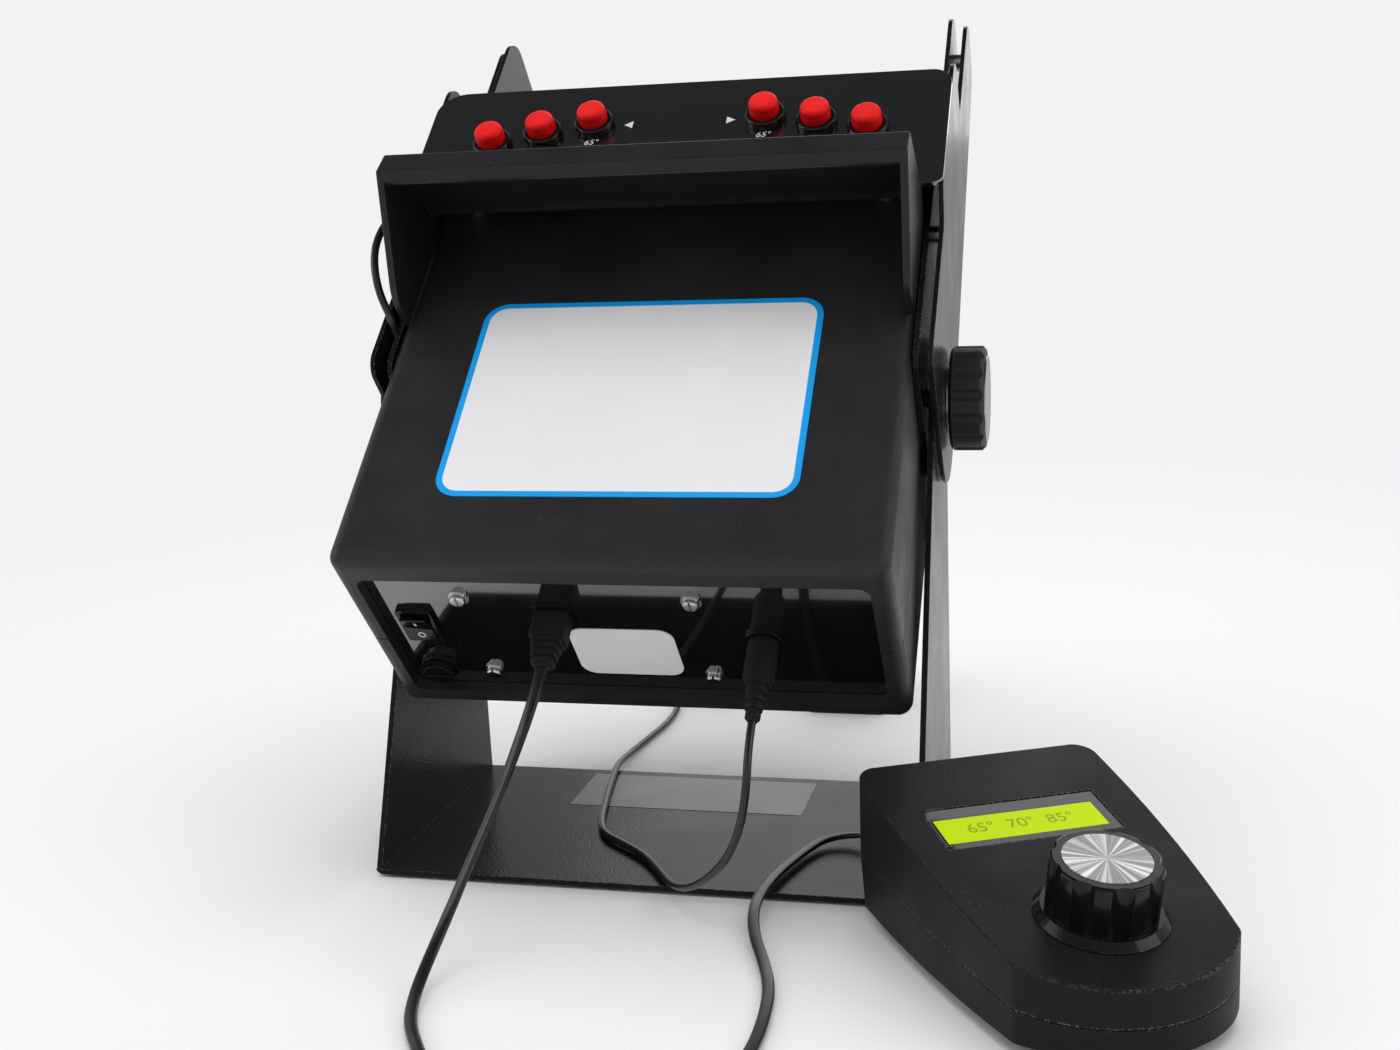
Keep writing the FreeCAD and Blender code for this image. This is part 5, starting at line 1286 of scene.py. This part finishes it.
@dataclass
class PatientSide(Assembly):
    """The eyepieces, the face mask and the forehead pad."""

    body: str = "head"
    pad_crown: float = 2.4 * MM
    pad_corner: float = 3.0 * MM
    pad_level: float = 0.45
    mask_flare: float = 2.2 * MM

    def build(self) -> None:
        """Makes the parts that the patient meets."""
        self.edged("eyepiece_tubes", 0.5 * MM, Surface.MOULDED)
        self.coat(Surface.GLASS, "eyepiece_lenses")
        self.face_mask()
        self.forehead_pad()

    def face_mask(self) -> None:
        """The soft mask, whose rim turns outward to meet the face."""
        mask = edged_copy("face_mask", 1.2 * MM, 4)
        into = HEAD.inverted()
        points = [into @ vertex.co for vertex in mask.data.vertices]
        low, high = local_box("face_mask", HEAD)
        middle = (low + high) / 2
        for vertex, point in zip(mask.data.vertices, points):
            flare = max(0.0, (point.y - middle.y) / (high.y - middle.y)) ** 2 * self.mask_flare
            outward = Vector((point.x - middle.x, 0.0, point.z - middle.z)).normalized()
            vertex.co = HEAD @ (point + outward * flare)
        self.settle(mask, Surface.SKIN_RUBBER, stands_for=("face_mask",))

    def forehead_pad(self) -> None:
        """The padded rest: a crowned cover with a seam along its back."""
        low, high = local_box("forehead_pad", HEAD)
        pad = cube("forehead_cushion", low, high)
        pick_edges(pad, lambda a, b: True)
        bpy.ops.mesh.bevel(offset=self.pad_corner, segments=3, affect="EDGES")
        bpy.ops.mesh.select_all(action="SELECT")
        bpy.ops.mesh.subdivide(number_cuts=3)
        bpy.ops.object.mode_set(mode="OBJECT")
        middle, half = (low + high) / 2, (high - low) / 2
        for vertex in pad.data.vertices:
            u = (vertex.co.x - middle.x) / half.x
            v = (vertex.co.z - middle.z) / half.z
            swell = max(0.0, 1.0 - u ** 4) * max(0.0, 1.0 - v ** 2)
            if vertex.co.y > middle.y:
                vertex.co.y += self.pad_crown * (swell - self.pad_level)
        smooth(pad, 60.0)
        self.settle(pad, Surface.VINYL, place=HEAD, stands_for=("forehead_pad",))


@dataclass
class PeripheralUnit(Assembly):
    """The hood, the bent bracket, the button panel and the side plates."""

    body: str = "head"
    ribs: int = 48
    rib_height: float = 2.4 * MM
    rib_depth: float = 0.12 * MM
    cap_height: float = 6.8 * MM
    cap_dome: float = 2.4 * MM
    text_height: float = 4.6 * MM
    mark_step: float = 10.7 * MM
    arrow_step: float = 16.0 * MM
    arrow_size: float = 2.6 * MM
    arrow_depth: float = 0.06 * MM
    rib_inset: float = 0.08 * MM

    def build(self) -> None:
        """Makes the unit's plates, buttons and marks."""
        self.edged("hood", 0.6 * MM, Surface.HOOD, segments=3)
        for plate in ("peripheral_bracket", "wing_plates"):
            self.edged(plate, 0.35 * MM, Surface.STEEL)
        self.edged("button_panel", 0.35 * MM, Surface.ACRYLIC)
        self.edged("button_housings", 0.5 * MM, Surface.GLOSS)
        self.coat(Surface.PLATED, "unit_spacers")
        self.coat(Surface.LAMP, "peripheral_leds")
        for side in ("left", "right"):
            for angle in ("85", "70", "65"):
                self.button(side, angle)
                self.mark(side, angle)
            self.arrow(side)

    def button(self, side: str, angle: str) -> None:
        """One red cap, domed a little, with a finely ribbed lower rim.

        Args:
            side: Which group it is in.
            angle: The angle that its lamp stands at.
        """
        node = f"button_{side}_{angle}"
        low, high = local_box(node, HEAD)
        middle = (low + high) / 2
        radius = (high.x - low.x) / 2
        skirt = high.z - self.cap_height
        cap = cylinder(f"{node}_cap", radius - self.rib_depth, skirt, high.z, (middle.x, middle.y),
                       self.ribs * 2)
        pick_edges(cap, lambda a, b: a.z > high.z - 1e-5 and b.z > high.z - 1e-5)
        bpy.ops.mesh.bevel(offset=self.cap_dome, segments=6, affect="EDGES")
        bpy.ops.mesh.select_all(action="SELECT")
        bpy.ops.mesh.bisect(plane_co=(0.0, 0.0, skirt + self.rib_height), plane_no=(0.0, 0.0, 1.0))
        bpy.ops.object.mode_set(mode="OBJECT")
        step = math.pi / self.ribs

        def is_rib(face: bpy.types.MeshPolygon) -> bool:
            """Whether a face is every second one of the lower band."""
            turn = math.atan2(face.center.y - middle.y, face.center.x - middle.x)
            in_band = abs(face.normal.z) < 0.1 and face.center.z < skirt + self.rib_height
            return in_band and round(turn / step - 0.5) % 2 == 0

        pick_faces(cap, is_rib)
        bpy.ops.mesh.inset(thickness=self.rib_inset, depth=self.rib_depth, use_individual=True)
        bpy.ops.object.mode_set(mode="OBJECT")
        smooth(cap, 35.0)
        self.settle(cap, Surface.RED, place=HEAD, body=node, stands_for=(node,))

    def mark(self, side: str, angle: str) -> None:
        """The printed angle in front of a button."""
        middle = local_middle(f"button_{side}_{angle}", HEAD)
        face = local_box("button_panel", HEAD)[1].z
        spot = (middle.x, middle.y - self.mark_step, face)
        self.printed(f"mark_{side}_{angle}", angle + "°", self.text_height, spot, HEAD, lean=0.2)

    def arrow(self, side: str) -> None:
        """A printed triangle that points to the side whose lamps the group lights."""
        middle = local_middle(f"button_{side}_65", HEAD)
        face = local_box("button_panel", HEAD)[1].z
        way = -1.0 if side == "left" else 1.0
        spot = (middle.x - way * self.arrow_step, middle.y, face)
        bare_hands()
        bpy.ops.mesh.primitive_cylinder_add(vertices=3, radius=self.arrow_size, depth=self.arrow_depth,
                                            location=spot, rotation=(0.0, 0.0, way * math.radians(-90.0)))
        pointer = bpy.context.object
        pointer.name = f"arrow_{side}"
        bpy.ops.object.transform_apply(location=True, rotation=True, scale=True)
        self.settle(pointer, Surface.PRINT, place=HEAD)


@dataclass
class Clamps(Assembly):
    """The two ribbed clamp knobs."""

    body: str = "head"

    def build(self) -> None:
        """Dresses both knobs and their bright ends."""
        for side in ("left", "right"):
            self.edged(f"clamp_knob_{side}", 0.4 * MM, Surface.MOULDED)
            self.edged(f"clamp_core_{side}", 0.2 * MM, Surface.PLATED)


@dataclass
class Handset(Assembly):
    """The wired handset with its lit display and fluted dial."""

    view_size: tuple[float, float, float] = (62.6 * MM, 15.7 * MM, 0.0)
    view_shift: tuple[float, float, float] = (-1.2 * MM, -1.8 * MM, 0.0)
    line_gap: float = 1.3 * MM
    line_width: float = 0.35 * MM
    text_height: float = 8.0 * MM
    glow_rise: float = 0.05 * MM
    line_rise: float = 0.04 * MM
    text_rise: float = 0.07 * MM
    view_area: float = 0.0005

    def build(self) -> None:
        """Makes the handset's shells, display and dial."""
        self.edged("handset_upper_shell", 0.3 * MM, Surface.HANDSET)
        self.edged("handset_lower_shell", 0.3 * MM, Surface.HANDSET_BASE)
        self.coat(Surface.RUBBER, "handset_feet")
        self.edged("handset_strain_relief", 0.3 * MM, Surface.RUBBER)
        self.edged("handset_window", 0.3 * MM, Surface.WINDOW)
        self.coat(Surface.PLATED, "handset_encoder")
        self.coat(Surface.BOARD, "handset_display")
        self.display()
        self.edged("handset_dial", 0.35 * MM, Surface.GLOSS, segments=3)
        self.edged("handset_dial_disc", 0.2 * MM, Surface.SPUN)

    def display(self) -> None:
        """The lit view area, the line round it and a reading of three angles."""
        top = local_box("handset_window", DIAL)[1].z
        middle = local_middle("handset_window", DIAL) + Vector(self.view_shift)
        half = Vector(self.view_size) / 2
        rise = Vector((0.0, 0.0, self.glow_rise))
        middle.z = top
        glow = cube("display_view", middle - half - rise, middle + half + rise)
        self.settle(glow, Surface.DISPLAY, place=DIAL)
        self.outline(middle, half + Vector((self.line_gap, self.line_gap, self.line_rise)))
        spot = (middle.x, middle.y, top + self.text_rise)
        self.printed("display_reading", "65°  70°  85°", self.text_height, spot, DIAL, Surface.INK)

    def outline(self, middle: Vector, half: Vector) -> None:
        """The thin moulded line round the view area.

        Args:
            middle: Its middle on the window's face, in the dial's frame.
            half: Half of its length, width and height.
        """
        line = cube("display_outline", middle - half, middle + half)
        pick_faces(line, lambda face: abs(face.normal.z) > 0.9)
        bpy.ops.mesh.inset(thickness=self.line_width, depth=0.0)
        bpy.ops.object.mode_set(mode="OBJECT")
        pick_faces(line, lambda face: abs(face.normal.z) > 0.9 and face.area > self.view_area)
        bpy.ops.mesh.bridge_edge_loops()
        bpy.ops.object.mode_set(mode="OBJECT")
        self.settle(line, Surface.BEZEL, place=DIAL)


@dataclass
class PowerSupply(Assembly):
    """The mains adapter at the far end of the power cord."""

    plate_width: float = 24.0 * MM
    plate_edge: float = 10.0 * MM
    plate_end: float = 14.0 * MM

    def build(self) -> None:
        """Rounds the adapter's case and adds its blank rating plate."""
        self.edged("power_adapter", 0.9 * MM, Surface.GLOSS, segments=3)
        low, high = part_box("power_adapter")
        left, right = high.x - self.plate_edge - self.plate_width, high.x - self.plate_edge
        plate = cube("adapter_plate", (left, low.y + self.plate_end, high.z - 0.05 * MM),
                     (right, high.y - self.plate_end, high.z + 0.1 * MM))
        apply_bevel(plate, 0.04 * MM, 1)
        self.settle(plate, Surface.GREY_LABEL)


def main() -> None:
    """Builds the studio and every sub-assembly in order."""
    logging.basicConfig(level=logging.INFO, format="%(name)s %(message)s")
    Studio().build()
    wardrobe = Wardrobe()
    for assembly in (Cords, Stand, Case, PatientSide, PeripheralUnit, Clamps, Handset, PowerSupply):
        built = assembly(wardrobe)
        built.build()
        LOG.info("%s: %d new pieces", assembly.__name__, len(built.made))


if __name__ == "__main__":
    main()
